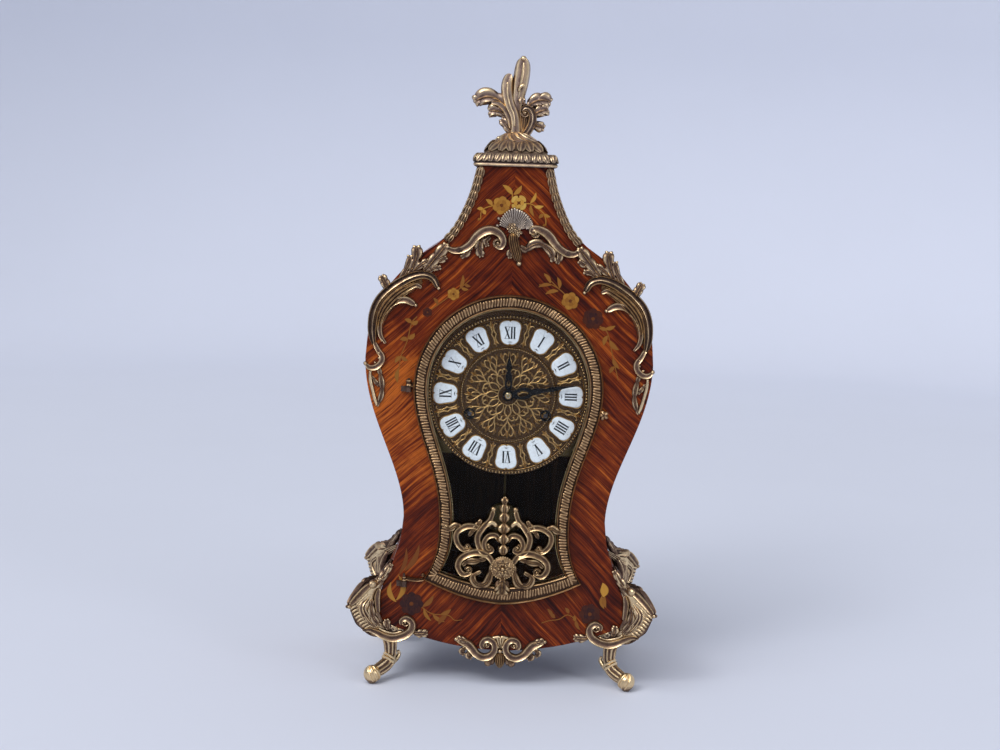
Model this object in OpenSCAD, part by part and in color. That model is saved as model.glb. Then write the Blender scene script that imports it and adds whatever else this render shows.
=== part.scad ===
// Cartel clock on four scroll feet: a curved veneered case with cast mounts, a glazed door,
// a pressed dial and an eight-day striking movement with a pendulum.
// Millimetres, +Z up, the front faces -Y, origin on the floor under the middle of the case.

/* [Case] */
// Depth of the wooden case, front to back
case_depth = 140; // [124:2:180]
// Width across the shoulders
shoulder_w = 260; // [240:2:290]
// Width across the waist
waist_w = 184; // [170:2:200]
// Width across the lower corners
base_w = 230; // [214:2:250]
// Width of the neck at its top
neck_w = 68; // [56:2:84]
// Height of the lower corners above the floor
foot_h = 61; // [54:1:70]
// Height from the lower corners to the waist
waist_h = 96; // [86:1:106]
// Height from the waist to the shoulders
shoulder_h = 146; // [138:1:156]
// Height from the shoulders to the top of the neck
neck_h = 174; // [162:1:190]
// How far the front's lower edge sinks below the corners
apron_drop = 27; // [12:1:34]
// Thickness of the front board
front_t = 8; // [6:0.5:10]
// Thickness of the curved side panels
side_t = 6; // [4:0.5:9]
// Thickness of the back board and the back door
back_t = 6; // [4:0.5:8]
// Thickness of the top and base boards
board_t = 8; // [6:0.5:12]

/* [Back door] */
// Width of the back door's opening
hatch_w = 140; // [120:2:150]
// Height of the opening's lower edge above the lower corners
hatch_rise = 34; // [26:1:44]
// Gap round the back door
hatch_gap = 0.5; // [0.3:0.1:1]
// Radius of the back hinge pins
hatch_pin_r = 1; // [0.8:0.1:1.3]

/* [Front door] */
// Radius of the door's round upper part
door_r = 86; // [80:1:92]
// Width of the door's frame at the round part
door_border = 13; // [11:0.5:15]
// Width of the door at its waist
door_waist_w = 119; // [110:1:128]
// Width of the door at its lower corners
door_corner_w = 145; // [134:1:156]
// Height of the door's waist above the case's lower corners
door_waist_rise = 89; // [80:1:98]
// Height of the door's lower corners above the case's lower corners
door_corner_rise = 39; // [32:1:46]
// How far the door's lower edge bows below its corners
door_bow = 21; // [12:1:26]
// Drop of the door's centre below the shoulders
door_drop = 26; // [20:1:32]
// Gap between the door and the front board
door_gap = 0.4; // [0.3:0.1:0.8]
// Thickness of the door's frame
frame_t = 5; // [4.5:0.25:7]
// Height of the beads on the door's frame
bead_t = 2.5; // [1.5:0.25:3.5]
// Thickness of the glass
glass_t = 2; // [1.5:0.25:2.5]
// How far the glass laps behind the frame
glass_lap = 3; // [2:0.5:4]
// Radius of the door's hinge pins
door_pin_r = 1.2; // [0.9:0.1:1.5]

/* [Dial] */
// Radius of the dial
dial_r = 73; // [71:0.5:74]
// Drop of the dial's centre below the door's centre
dial_drop = 6; // [3:0.5:8]
// Thickness of the dial plate
dial_t = 1.2; // [0.8:0.1:2]
// Radius of the ring of numeral plaques
plaque_ring_r = 57; // [55:0.5:59]
// Width of one numeral plaque
plaque_w = 19.5; // [15:0.5:20]
// Length of one numeral plaque
plaque_l = 22; // [18:0.5:23]
// Length of the hour hand from the centre
hour_len = 42; // [36:1:46]
// Length of the minute hand from the centre
minute_len = 66; // [60:1:69]
// Height of the pressed relief on the dial
relief_t = 1; // [0.6:0.1:1.4]

/* [Movement] */
// Gap between the two movement plates
plate_gap = 42; // [40:1:46]
// Thickness of the movement plates
plate_t = 2; // [1.5:0.25:3]
// Distance from the dial to the front plate
dial_feet_l = 11; // [10.5:0.25:13]
// Half the distance between the winding squares
winding_x = 34.6; // [34:0.1:35.5]
// Drop of the winding squares below the hands' centre
winding_drop = 18; // [16.5:0.5:19]
// Radius of the spring barrels
barrel_r = 30; // [26:0.5:31]
// Radius of the winding arbors
winding_r = 2.6; // [2.2:0.1:3]
// Side of the winding squares
square_w = 3.4; // [2.8:0.1:3.6]
// Radius of the wheels' arbors
arbor_r = 1.1; // [0.9:0.1:1.4]
// Radius of the pivots at the ends of the arbors
pivot_r = 0.7; // [0.5:0.05:0.8]
// Radial clearance of every shaft in its hole
run = 0.05; // [0.02:0.01:0.08]
// Gap between neighbours that turn
shake = 0.4; // [0.3:0.05:0.6]
// Thickness of the train wheels
wheel_t = 1.4; // [1:0.1:1.8]
// Length of the pinions' leaves
leaf_l = 4.5; // [4:0.25:5.5]

/* [Pendulum] */
// Distance from the suspension to the bob's centre
pendulum_l = 194; // [184:1:198]
// Radius of the bob
bob_r = 17; // [14:0.5:20]
// Thickness of the bob
bob_t = 7; // [5:0.5:9]
// Radius of the pendulum's rod
rod_r = 1.1; // [0.9:0.1:1.5]
// Height of the suspension above the hands' centre
suspension_rise = 63; // [60:1:68]
// Radius of the bell
bell_r = 27; // [24:1:30]
// Thickness of the bell
bell_t = 1.6; // [1.2:0.1:2.2]

/* [Mounts] */
// Thickness of the cast mounts on the front
mount_t = 7; // [5:0.5:9]
// Height of the cap moulding
cap_h = 23; // [18:1:28]
// How far the cap moulding stands out from the neck
cap_lip = 3; // [2:0.5:4]
// Height of the finial above the cap
finial_h = 80; // [70:1:90]
// How far the feet's knees stand out from the lower corners
knee_out = 24; // [20:1:28]
// Radius of the pads under the feet
toe_r = 5.5; // [4:0.5:7]

/* [Hidden] */

wood = [0.52, 0.2, 0.08];
pale_wood = [0.6, 0.42, 0.25];
bronze = [0.52, 0.42, 0.25];
clock_brass = [0.8, 0.66, 0.36];
steel = [0.55, 0.56, 0.6];
black = [0.05, 0.05, 0.05];
enamel = [0.92, 0.93, 0.95];

// Heights that the driving sizes lead to
corner_z = foot_h;
waist_z = corner_z + waist_h;
shoulder_z = waist_z + shoulder_h;
neck_z = shoulder_z + neck_h;
cap_z = neck_z + cap_h;
door_z = shoulder_z - door_drop;
door_waist_z = corner_z + door_waist_rise;
door_corner_z = corner_z + door_corner_rise;
dial_z = door_z - dial_drop;
suspension_z = dial_z + suspension_rise;

// Levels along Y, each the face nearer the back unless it is named otherwise
front_y = -case_depth / 2;
back_y = case_depth / 2;
board_back_y = front_y + front_t;
door_back_y = front_y - door_gap;
frame_face_y = door_back_y - frame_t;
retainer_t = 1;
glass_back_y = door_back_y - retainer_t;
glass_face_y = glass_back_y - glass_t;
dial_back_y = board_back_y + dial_t;
plate_face_y = dial_back_y + dial_feet_l;
gap_front_y = plate_face_y + plate_t;
gap_back_y = gap_front_y + plate_gap;
plate_back_y = gap_back_y + plate_t;

// Layers of wheels inside the movement, measured forward from the back plate
great_y = gap_back_y - 5;
barrel_back_y = great_y - wheel_t - 1;
barrel_l = plate_gap - 12;
centre_y = gap_back_y - 2;
third_y = barrel_back_y + 1.6;
escape_y = gap_back_y - 18;
pin_y = gap_back_y - 2.2;
warning_y = gap_front_y + 4;
pendulum_y = plate_back_y + 13;

// Half outlines as shares of the height and of the width between two named sizes
SHOULDER_CURVE = [[0, 0], [0.155, 0.03], [0.3, 0.12], [0.43, 0.29], [0.53, 0.48],
    [0.61, 0.68], [0.7, 0.81], [0.85, 0.93], [1, 1]];
BASE_CURVE = [[0, 0], [0.26, 0.11], [0.46, 0.32], [0.67, 0.55], [0.83, 0.8], [1, 1]];
BASE_CURVE_H = 81;

function mix(a, b, t) = a + (b - a) * t;
function ease(a, b, t) = mix(a, b, (1 - cos(180 * t)) / 2);
function steps(n) = [for (i = [0:n]) i / n];
function mirrored(half) = concat(half, [for (i = [len(half) - 1:-1:0]) [-half[i][0], half[i][1]]]);

// A smooth curve through the points p, with n steps between neighbours
function curve_at(a, b, c, d, t) = 0.5 * (2 * b + (c - a) * t
    + (2 * a - 5 * b + 4 * c - d) * t * t + (3 * b - a - 3 * c + d) * t * t * t);
function curve(p, n) = concat(
    [for (i = [0:len(p) - 2], k = [0:n - 1])
        curve_at(p[max(i - 1, 0)], p[i], p[i + 1], p[min(i + 2, len(p) - 1)], k / n)],
    [p[len(p) - 1]]);

// Right half of the case's outline, from the lower corner up to the neck
function case_half() = concat(
    [[base_w / 2, corner_z]],
    [for (p = reverse(curve(BASE_CURVE, 2)))
        [mix(waist_w, base_w, p[1]) / 2, waist_z - p[0] * BASE_CURVE_H]],
    [for (t = steps(14)) if (t > 0)
        [ease(waist_w, shoulder_w, pow(t, 0.93)) / 2, mix(waist_z, shoulder_z, t)]],
    [for (p = curve(SHOULDER_CURVE, 3)) if (p[0] > 0)
        [mix(shoulder_w, neck_w, p[1]) / 2, mix(shoulder_z, neck_z, p[0])]]);
function reverse(p) = [for (i = [len(p) - 1:-1:0]) p[i]];
function apron_half() = [for (t = steps(12)) if (t < 1)
    [t * base_w / 2, corner_z - apron_drop * (1 - t * t)]];

// Half width of the case at height z
function case_x(z) = lookup(z, [for (p = case_half()) [p[1], p[0]]]);

// Right half of the door's outline from the bottom to the top; inset narrows it to the glass
function door_half(inset) =
    let (r = door_r - inset, waist = door_waist_w / 2 - 0.96 * inset,
        corner = door_corner_w / 2 - 1.2 * inset, corner_lift = 0.6 * inset,
        bottom = door_corner_z - door_bow + 1.3 * inset,
        z0 = door_corner_z + corner_lift)
    concat(
        [for (t = steps(8)) if (t < 1) [t * corner, mix(bottom, z0, pow(t, 1.8))]],
        [for (t = steps(7)) if (t < 1)
            [mix(corner, waist, 1 - pow(1 - t, 2.4)), mix(z0, door_waist_z, t)]],
        [for (t = steps(14)) if (t < 1)
            [ease(waist, r, pow(t, 1.15)), mix(door_waist_z, door_z, t)]],
        [for (a = [0:6:84]) [r * cos(a), door_z + r * sin(a)]],
        [[0, door_z + r]]);
function outline(half) = concat(half,
    [for (i = [len(half) - 2:-1:1]) [-half[i][0], half[i][1]]]);

// Puts a shape drawn in X and Z at (x, z), its back at y, and lets it grow forward
module facing(x = 0, z = 0, y = 0) translate([x, y, z]) rotate([90, 0, 0]) children();
module rod(x, z, back, front, r, sides = 40)
    facing(x, z, back) cylinder(h = back - front, r = r, $fn = sides);
module both_sides() {
    children();
    mirror([1, 0, 0]) children();
}

module case_outline() polygon(mirrored(concat(apron_half(), case_half())));
module case_shell_outline() polygon(mirrored(case_half()));
// The outline run on past both ends, so that an inner offset stays open there
run_on = 50;
module tall_outline() polygon(mirrored(concat(
    [[base_w / 2, corner_z - run_on]], case_half(), [[neck_w / 2, neck_z + run_on]])));

// Strokes of the castings
// A stroke is a list of [x, z, half width, lift]: a rounded strip that swells and tapers.
// The lift moves its middle forward from the face that it lies on.
function ring3(c, s, n, w, h, sides) =
    [for (k = [0:sides - 1]) c + s * w * cos(360 * k / sides) + n * h * sin(360 * k / sides)];
function unit(v) = v / max(norm(v), 0.001);
function tangent(p, i) = unit(p[min(i + 1, len(p) - 1)] - p[max(i - 1, 0)]);
function face_point(q) = [q[0], 0, q[1]];

module sweep(path, widths, heights, normal, sides = 6) {
    n = len(path);
    points = [for (i = [0:n - 1])
        let (t = tangent(path, i), s = unit(cross(normal, t)))
        each ring3(path[i], s, normal, widths[i], heights[i], sides)];
    skin = [for (i = [0:n - 2], k = [0:sides - 1])
        let (a = i * sides + k, b = i * sides + (k + 1) % sides)
        each [[a, a + sides, b], [b, a + sides, b + sides]]];
    ends = [[for (k = [0:sides - 1]) k], [for (k = [sides - 1:-1:0]) (n - 1) * sides + k]];
    polyhedron(points, concat(skin, ends));
}

// A stroke on a flat face at level y, which faces -Y
module stroke(points, y = front_y, thick = 0.75) {
    c = curve([for (q = points) [q[0], q[1], q[2], len(q) > 3 ? q[3] : 1]], len(points) > 6 ? 1 : 2);
    sweep([for (q = c) [q[0], y - q[3], q[1]]], [for (q = c) q[2]],
        [for (q = c) max(1.2, thick * q[2])], [0, -1, 0]);
}

module bead(x, z, r, y = front_y, h = 3)
    translate([x, y, z]) scale([r, h, r]) sphere(r = 1, $fn = 8);

// The pieces of one casting become a single body with a flat back
reach = 120;
module casting() resize([0, 0, 0]) union() children();
module cast_on_front() casting() intersection() {
    union() children();
    translate([-shoulder_w, front_y - reach, 0]) cube([2 * shoulder_w, reach, cap_z]);
}

// Case
module case_sides() color(wood)
    facing(0, 0, back_y - back_t)
    linear_extrude(case_depth - back_t - front_t)
    intersection() {
        difference() {
            tall_outline();
            offset(delta = -side_t) tall_outline();
        }
        translate([-shoulder_w, corner_z]) square([2 * shoulder_w, neck_z - corner_z]);
    }

module front_board() color(wood) difference() {
    facing(0, 0, board_back_y) linear_extrude(front_t) difference() {
        case_outline();
        polygon(outline(door_half(door_border - 1)));
    }
    for (p = dial_screw_places()) rod(p[0], p[1], board_back_y + 1, board_back_y - 5, screw_r);
}

module hatch_outline(gap = 0) {
    r = hatch_w / 2 - gap;
    low = corner_z + hatch_rise + gap;
    translate([-r, low]) square([2 * r, door_z - low]);
    translate([0, door_z]) circle(r = r, $fn = 72);
}

module back_board() color(pale_wood) facing(0, 0, back_y) linear_extrude(back_t) difference() {
    case_shell_outline();
    hatch_outline();
}

module back_door() color(pale_wood) facing(0, 0, back_y) linear_extrude(back_t)
    hatch_outline(hatch_gap);

module top_board() color(pale_wood) {
    w = 2 * (neck_w / 2 - side_t);
    translate([-w / 2, board_back_y, neck_z - board_t])
        cube([w, case_depth - front_t - back_t, board_t]);
}

base_gap = 0.2;
module base_board() color(pale_wood) {
    w = 2 * (case_x(corner_z + board_t) - side_t - base_gap);
    translate([-w / 2, board_back_y, corner_z])
        cube([w, case_depth - front_t - back_t, board_t]);
}

// Back door's hinges, on its right as seen from the front
hatch_axis_x = hatch_w / 2 + 5;
hatch_axis_y = back_y + 2.4;
hatch_knuckle_r = 2.2;
hatch_knuckle_l = 9;
leaf_t = 1;
leaf_w = 12;
hatch_hinge_z = [corner_z + hatch_rise + 30, door_z - 10];

module knuckle(x, y, z, h, r) translate([x, y, z]) cylinder(h = h, r = r, $fn = 32);

module back_hinge_pins() color(clock_brass) for (z = hatch_hinge_z) {
    translate([hatch_axis_x - 3, back_y, z]) cube([leaf_w, leaf_t, hatch_knuckle_l]);
    knuckle(hatch_axis_x, hatch_axis_y, z, hatch_knuckle_l, hatch_knuckle_r);
    knuckle(hatch_axis_x, hatch_axis_y, z + 1, 2 * hatch_knuckle_l, hatch_pin_r);
}

module back_hinge_leaves() color(clock_brass) for (z = hatch_hinge_z) difference() {
    union() {
        translate([hatch_axis_x - leaf_w - 2, back_y, z + hatch_knuckle_l + shake])
            cube([leaf_w + 1.5, leaf_t, hatch_knuckle_l]);
        knuckle(hatch_axis_x, hatch_axis_y, z + hatch_knuckle_l + shake, hatch_knuckle_l,
            hatch_knuckle_r);
    }
    knuckle(hatch_axis_x, hatch_axis_y, z, 3 * hatch_knuckle_l, hatch_pin_r + run);
}

// A button on the back board, stored clear of the door, turns over the door's free edge
button_x = -hatch_w / 2 - 7;
button_z = (hatch_hinge_z[0] + hatch_hinge_z[1]) / 2;
button_stud_r = 1.5;
button_l = 16;
button_t = 3;
module turn_button() color(clock_brass) difference() {
    facing(0, 0, back_y + button_t + 0.3) linear_extrude(button_t) hull() {
        translate([button_x, button_z]) circle(r = 4, $fn = 32);
        translate([button_x, button_z - button_l]) circle(r = 3, $fn = 32);
    }
    rod(button_x, button_z, back_y + 5, back_y - 1, button_stud_r + run);
}

// Door
hinge_x = -(door_r + 4);
hinge_y = door_back_y - 3.4;
knuckle_r = 2.8;
knuckle_l = 6;
lug_l = 5;
upper_hinge_z = door_z + 1;
lower_hinge_z = door_corner_z - 2;
knob_z = door_z - 20;

module door_ring(outer, inner, y, h) facing(0, 0, y) linear_extrude(h) difference() {
    polygon(outline(door_half(outer)));
    polygon(outline(door_half(inner)));
}

module door_bezel() color(bronze) difference() {
    union() {
        door_ring(0, door_border, door_back_y, frame_t);
        door_ring(0, 2.5, frame_face_y + 0.01, bead_t);
        door_ring(2.5, door_border - 3, frame_face_y + 0.01, bead_t * 0.6);
        door_ring(door_border - 2, door_border, frame_face_y + 0.01, bead_t * 0.8);
        for (z = [upper_hinge_z, lower_hinge_z])
            knuckle(hinge_x, hinge_y, z, knuckle_l, knuckle_r);
        translate([hinge_x, hinge_y - 1.8, upper_hinge_z]) cube([8, 3.6, knuckle_l]);
        translate([hinge_x, hinge_y - 1.8, lower_hinge_z])
            cube([door_r + 8 - door_corner_w / 2, 3.6, knuckle_l]);
        rod(door_r + 0.5, knob_z, door_back_y - 1, door_back_y - 6, 4.5);
    }
    facing(0, 0, door_back_y + 1) linear_extrude(glass_t + retainer_t + 1)
        polygon(outline(door_half(door_border - glass_lap)));
    for (z = [upper_hinge_z, lower_hinge_z])
        knuckle(hinge_x, hinge_y, z - 1, knuckle_l + 2, door_pin_r + run);
}

module door_glass() color([0.8, 0.85, 0.9, 0.3]) facing(0, 0, glass_back_y)
    linear_extrude(glass_t) polygon(outline(door_half(door_border - glass_lap + 0.3)));

module glass_retainer() color(clock_brass)
    door_ring(door_border - glass_lap + 0.2, door_border + 0.5, door_back_y, retainer_t);

// Each lug stands under its knuckle and carries the pin
module door_hinge_lugs() color(bronze) for (z = [upper_hinge_z, lower_hinge_z]) {
    knuckle(hinge_x, hinge_y, z - shake - lug_l, lug_l, knuckle_r);
    translate([hinge_x - 7, front_y - 2, z - shake - lug_l]) cube([9, 2, lug_l]);
    translate([hinge_x - 2.2, hinge_y, z - shake - lug_l]) cube([4.4, front_y - hinge_y, lug_l]);
    knuckle(hinge_x, hinge_y, z - shake - 0.01, knuckle_l + shake + 1, door_pin_r);
}

// A stroke lying on the glass and on the door's frame
module on_glass(points) stroke(points, y = frame_face_y - bead_t, thick = 0.7);
fret_z = door_corner_z + 16;
fret_foot_r = 1.6;
FRET_SPINE = [[0, 60, 1, 0.5], [0, 56, 3.4, 1], [0, 50, 2.6, 1], [0, 44, 4.2, 1.5],
    [0, 36, 3, 1], [0, 28, 4.4, 1.5], [0, 20, 2.8, 1], [0, 12, 4.6, 1.5], [0, 4, 6, 1]];
FRET_DROP = [[0, -6, 5, 1], [0, -13, 5.4, 1.5], [0, -20, 4, 1.5], [0, -27, 1.2, 1]];
FRET_STROKES = [
    [[3, 22, 1.6], [7, 28, 2.2], [14, 27, 2.2], [18, 20, 2], [15, 13, 2], [10, 14, 1.6], [12, 18, 1.2]],
    [[10, 51, 2], [13, 42, 2], [19, 35, 2.4], [24, 25, 2.4], [20, 13, 2.2], [13, 10, 1.8]],
    [[6, 36, 1.6], [11, 40, 2], [16, 36, 1.6]],
    [[20, 33, 1.6], [28, 36, 2.2], [36, 35, 2.4], [43, 29, 2.2], [42, 20, 2.2], [36, 14, 2], [28, 15, 1.8]],
    [[32, 26, 1.4], [29, 31, 1.8], [24, 36, 1.8], [22, 40, 1.2]],
    [[38, 32, 2], [43, 36, 1.8], [49, 31, 1.6], [52, 33, 1.2]],
    [[9, 2, 2], [14, 9, 2.4], [25, 12, 2.8], [37, 7, 2.6], [41, -1, 2.4], [36, -9, 2.2], [28, -7, 1.4]],
    [[9, 3, 2], [11, -8, 2.4], [15, -17, 2.4], [23, -18, 2.2], [26, -11, 2], [20, -7, 1.4]],
    [[14, 7, 1.6], [24, 4, 2], [32, 3, 1.8], [35, -1, 1.2]]
];
module door_fret() color(clock_brass) casting() difference() {
    union() {
        for (s = [FRET_SPINE, FRET_DROP]) on_glass([for (q = s) [q[0], fret_z + q[1], q[2], q[3]]]);
        both_sides() for (s = FRET_STROKES)
            on_glass([for (q = s) [q[0], fret_z + q[1], q[2]]]);
        bead(0, fret_z - 1, 8.5, frame_face_y - bead_t, 4);
        for (s = [-1, 1])
            bead(s * 10, fret_z + 52, 3, frame_face_y - bead_t, 3);
        for (p = [[0, 20], [0, -4], [22, 12], [-22, 12]])
            facing(p[0], fret_z + p[1], glass_face_y)
                cylinder(h = glass_face_y - frame_face_y + bead_t, r = fret_foot_r, $fn = 8);
    }
    door_ring(0.01, door_border, door_back_y, frame_t + bead_t);
}

// Dial
screw_r = 1.3;
arbor_hole_r = 4.2;
eyelet_r = 5.2;
eyelet_t = 1.4;
eyelet_hole_r = 3.8;
dial_screw_ring = door_r - door_border + 3.6;
function dial_screw_places() = [for (a = [20, 65, 115, 160])
    [dial_screw_ring * cos(a), door_z + dial_screw_ring * sin(a)]];
function winding_places() = [for (s = [-1, 1]) [s * winding_x, dial_z - winding_drop]];

module dial_plate() color(bronze) difference() {
    union() {
        facing(0, 0, dial_back_y) linear_extrude(dial_t) {
            translate([0, dial_z]) circle(r = dial_r, $fn = 96);
            intersection() {
                translate([0, door_z]) circle(r = door_r - door_border + 7, $fn = 96);
                translate([-door_r, dial_z - 8]) square([2 * door_r, 2 * door_r]);
            }
        }
        for (ring = [[dial_r - 2.4, dial_r], [dial_ring_in - 1, dial_ring_in + 1], [7, 9]])
            facing(0, dial_z, board_back_y) rotate_extrude($fn = 96)
                translate([ring[0], 0]) square([ring[1] - ring[0], relief_t]);
    }
    rod(0, dial_z, dial_back_y + 1, board_back_y - 5, arbor_hole_r);
    for (p = winding_places()) {
        rod(p[0], p[1], dial_back_y + 1, board_back_y - 5, eyelet_hole_r + 0.8);
        rod(p[0], p[1], board_back_y, board_back_y - 5, eyelet_r);
    }
    for (p = dial_screw_places()) rod(p[0], p[1], dial_back_y + 1, board_back_y - 1, screw_r);
}
dial_ring_in = plaque_ring_r - plaque_l / 2 - 4;

// A plaque is a rounded shield, wider outward, with a small notch at its inner and outer end.
// Rows are [share of the half width, share of the half length].
PLAQUE_HALF = [[0, -0.9], [0.16, -0.98], [0.5, -0.9], [0.76, -0.66], [0.86, -0.3], [0.93, 0.1],
    [1, 0.42], [0.9, 0.74], [0.6, 0.94], [0.18, 1], [0, 0.9]];
module plaque_shape() polygon(outline(
    [for (q = PLAQUE_HALF) [q[0] * plaque_w / 2, q[1] * plaque_l / 2]]));
module numeral_plaques() color(enamel) for (i = [0:11])
    facing(0, dial_z, board_back_y) rotate(-30 * i) translate([0, plaque_ring_r])
        linear_extrude(1.4) plaque_shape();

module winding_eyelets() color(black) for (p = winding_places()) difference() {
    facing(p[0], p[1], board_back_y) cylinder(h = eyelet_t, r = eyelet_r, $fn = 48);
    rod(p[0], p[1], board_back_y + 1, board_back_y - eyelet_t - 1, eyelet_hole_r);
}

// Levels of the pipes and hands in front of the dial
hour_hand_y = board_back_y - 2.6;
minute_hand_y = board_back_y - 4.6;
hand_t = 0.9;
centre_r = 1.4;
cannon_r = 2.2;
hour_pipe_r = 3.2;

// A pierced hand: a loop of two scrolls at its root and a leaf that runs to the point
module hand_shape(l, w) difference() {
    union() {
        circle(r = w, $fn = 40);
        translate([0, w * 0.9 + l * 0.14]) scale([0.55, 1]) circle(r = l * 0.15, $fn = 40);
        polygon(concat(
            [for (p = curve([[w * 0.5, l * 0.2], [w * 0.62, l * 0.4], [w * 0.3, l * 0.52],
                [w * 0.5, l * 0.62], [w * 0.16, l * 0.8], [0.05, l]], 4)) p],
            [for (p = reverse(curve([[w * 0.5, l * 0.2], [w * 0.62, l * 0.4], [w * 0.3, l * 0.52],
                [w * 0.5, l * 0.62], [w * 0.16, l * 0.8], [0.05, l]], 4))) [-p[0], p[1]]]));
    }
    translate([0, w * 0.9 + l * 0.14]) scale([0.5, 1]) circle(r = l * 0.08, $fn = 32);
}
module hour_hand() color(black) facing(0, dial_z, hour_hand_y) difference() {
    linear_extrude(hand_t) hand_shape(hour_len, 5.2);
    translate([0, 0, -1]) cylinder(h = 4, r = hour_pipe_r - 0.4, $fn = 40);
}
minute_angle = -80;
module minute_hand() color(black) facing(0, dial_z, minute_hand_y) rotate(minute_angle) difference() {
    linear_extrude(hand_t) hand_shape(minute_len, 4.6);
    translate([0, 0, -1]) cylinder(h = 4, r = cannon_r - 0.4, $fn = 40);
}
module hand_nut() color(clock_brass) difference() {
    union() {
        rod(0, dial_z, minute_hand_y - hand_t, minute_hand_y - hand_t - 1, 3);
        facing(0, dial_z, minute_hand_y - hand_t - 0.99) cylinder(h = 0.8, r1 = 3, r2 = 2.2, $fn = 40);
    }
    rod(0, dial_z, minute_hand_y, minute_hand_y - 4, cannon_r - 0.4);
}

// Gears
// A wheel's tooth is a wedge, slimmer than its space so that the mesh has play
function tooth(i, n, m, tip, root, share) =
    let (a = 360 / n, r = m * n / 2, h = share * a / 2)
    [for (q = [[root, -h * 1.25], [r, -h], [r + tip, -h * 0.25], [r + tip, h * 0.25], [r, h], [root, h * 1.25]])
        [q[0] * sin(i * a + q[1]), q[0] * cos(i * a + q[1])]];
module gear_shape(n, m, tip = 0.9, depth = 1.35, share = 0.44)
    polygon([for (i = [0:n - 1]) each tooth(i, n, m, tip * m, m * n / 2 - depth * m, share)]);
module pinion(n, m, x, z, back, l, turn = 0)
    facing(x, z, back) rotate(turn) linear_extrude(l) gear_shape(n, m, 0.75, 1.25, 0.36);
module crossed_wheel(n, m, x, z, back, t, hub, arms = 5, turn = 0, rim = 2.6)
    facing(x, z, back) rotate(turn) linear_extrude(t) difference() {
        gear_shape(n, m, 0.8, 1.3, 0.42);
        for (k = [0:arms - 1]) rotate(k * 360 / arms) crossing(hub, m * n / 2 - 1.3 * m - rim, arms);
    }
// The window between two arms
module crossing(r0, r1, arms) {
    half = 180 / arms;
    polygon([
        for (a = [-1:0.25:1]) r1 * [sin(a * (half - 120 / r1)), cos(a * (half - 120 / r1))],
        for (a = [1:-0.5:-1]) r0 * [sin(a * (half - 50 / r0)), cos(a * (half - 50 / r0))]
    ]);
}
// An arbor from plate to plate, with a thinner pivot in each plate
module arbor(x, z, r = arbor_r) {
    rod(x, z, gap_back_y - shake, gap_front_y + shake, r);
    rod(x, z, plate_back_y, plate_face_y, pivot_r);
}

// Teeth of the wheels and leaves of the pinions
GREAT_TEETH = 80;
CENTRE_LEAVES = 10;
CENTRE_TEETH = 96;
THIRD_LEAVES = 8;
THIRD_TEETH = 90;
ESCAPE_LEAVES = 8;
ESCAPE_TEETH = 30;
STRIKE_TEETH = 90;
PIN_LEAVES = 10;
PIN_TEETH = 60;
WARNING_LEAVES = 8;
WARNING_TEETH = 56;
FLY_LEAVES = 8;
CANNON_TEETH = 12;
MINUTE_TEETH = 36;
MINUTE_LEAVES = 10;
HOUR_TEETH = 40;

// Modules of the teeth; the play sets the arbors a little further apart than exact mesh
mesh_play = 1.004;
centre_m = 0.6;
third_m = 0.5;
strike_m = 0.75;
pin_m = 0.6;
warning_m = 0.5;
motion_m = 0.6;
great_m = 2 * norm([winding_x, winding_drop]) / (GREAT_TEETH + CENTRE_LEAVES) / mesh_play;
escape_r = 12.5;

// Where each arbor stands, as [x, z]
function spread(n1, n2, m) = m * (n1 + n2) / 2 * mesh_play;
function polar(from, r, a) = [from[0] + r * cos(a), from[1] + r * sin(a)];
centre_at = [0, dial_z];
going_at = [winding_x, dial_z - winding_drop];
strike_at = [-winding_x, dial_z - winding_drop];
third_at = polar(centre_at, spread(CENTRE_TEETH, THIRD_LEAVES, centre_m), 130);
escape_dz = sqrt(pow(spread(THIRD_TEETH, ESCAPE_LEAVES, third_m), 2) - pow(third_at[0], 2));
escape_at = [0, third_at[1] + escape_dz];
pin_at = polar(strike_at, spread(STRIKE_TEETH, PIN_LEAVES, strike_m), 122);
warning_at = polar(pin_at, spread(PIN_TEETH, WARNING_LEAVES, pin_m), 78);
fly_at = polar(warning_at, spread(WARNING_TEETH, FLY_LEAVES, warning_m), 42);
minute_at = polar(centre_at, spread(CANNON_TEETH, MINUTE_TEETH, motion_m), -62);
hour_m = spread(CANNON_TEETH, MINUTE_TEETH, motion_m) * 2 / (MINUTE_LEAVES + HOUR_TEETH) / mesh_play;
hammer_at = [-16, dial_z + 30];
lever_at = [-72, dial_z - 28];

// How far to turn wheel b so that its teeth enter the spaces of wheel a, which is turned by t
function mesh_turn(a, b, n1, n2, t = 0) =
    let (dir = atan2(b[0] - a[0], b[1] - a[1]))
    -(dir + 180) + 180 / n2 - (dir + t) * n1 / n2;

plate_left = lever_at[0] - 7;
plate_right = winding_x + barrel_r + 4;
plate_low = dial_z - winding_drop - barrel_r - 9;
plate_high = suspension_z + 8;
function pillar_places() = [[plate_left + 6, plate_low + 6], [plate_right - 6, plate_low + 6],
    [plate_left + 6, plate_high - 8], [plate_right - 6, plate_high - 8]];
pillar_r = 3.4;
pillar_pin_r = 1.6;
click_r = 1.4;
click_drop = 12;
function click_at(c) = [c[0] + sign(c[0]) * 5, c[1] - click_drop - 4];

module plate_outline() translate([plate_left, plate_low])
    square([plate_right - plate_left, plate_high - plate_low]);

module train_holes(y0, y1) {
    for (p = [third_at, escape_at, pin_at, warning_at, fly_at, lever_at])
        rod(p[0], p[1], y0, y1, pivot_r + run);
    rod(0, suspension_z, y0, y1, pivot_r + run);
    for (p = pillar_places()) rod(p[0], p[1], y0, y1, pillar_pin_r);
}

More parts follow.
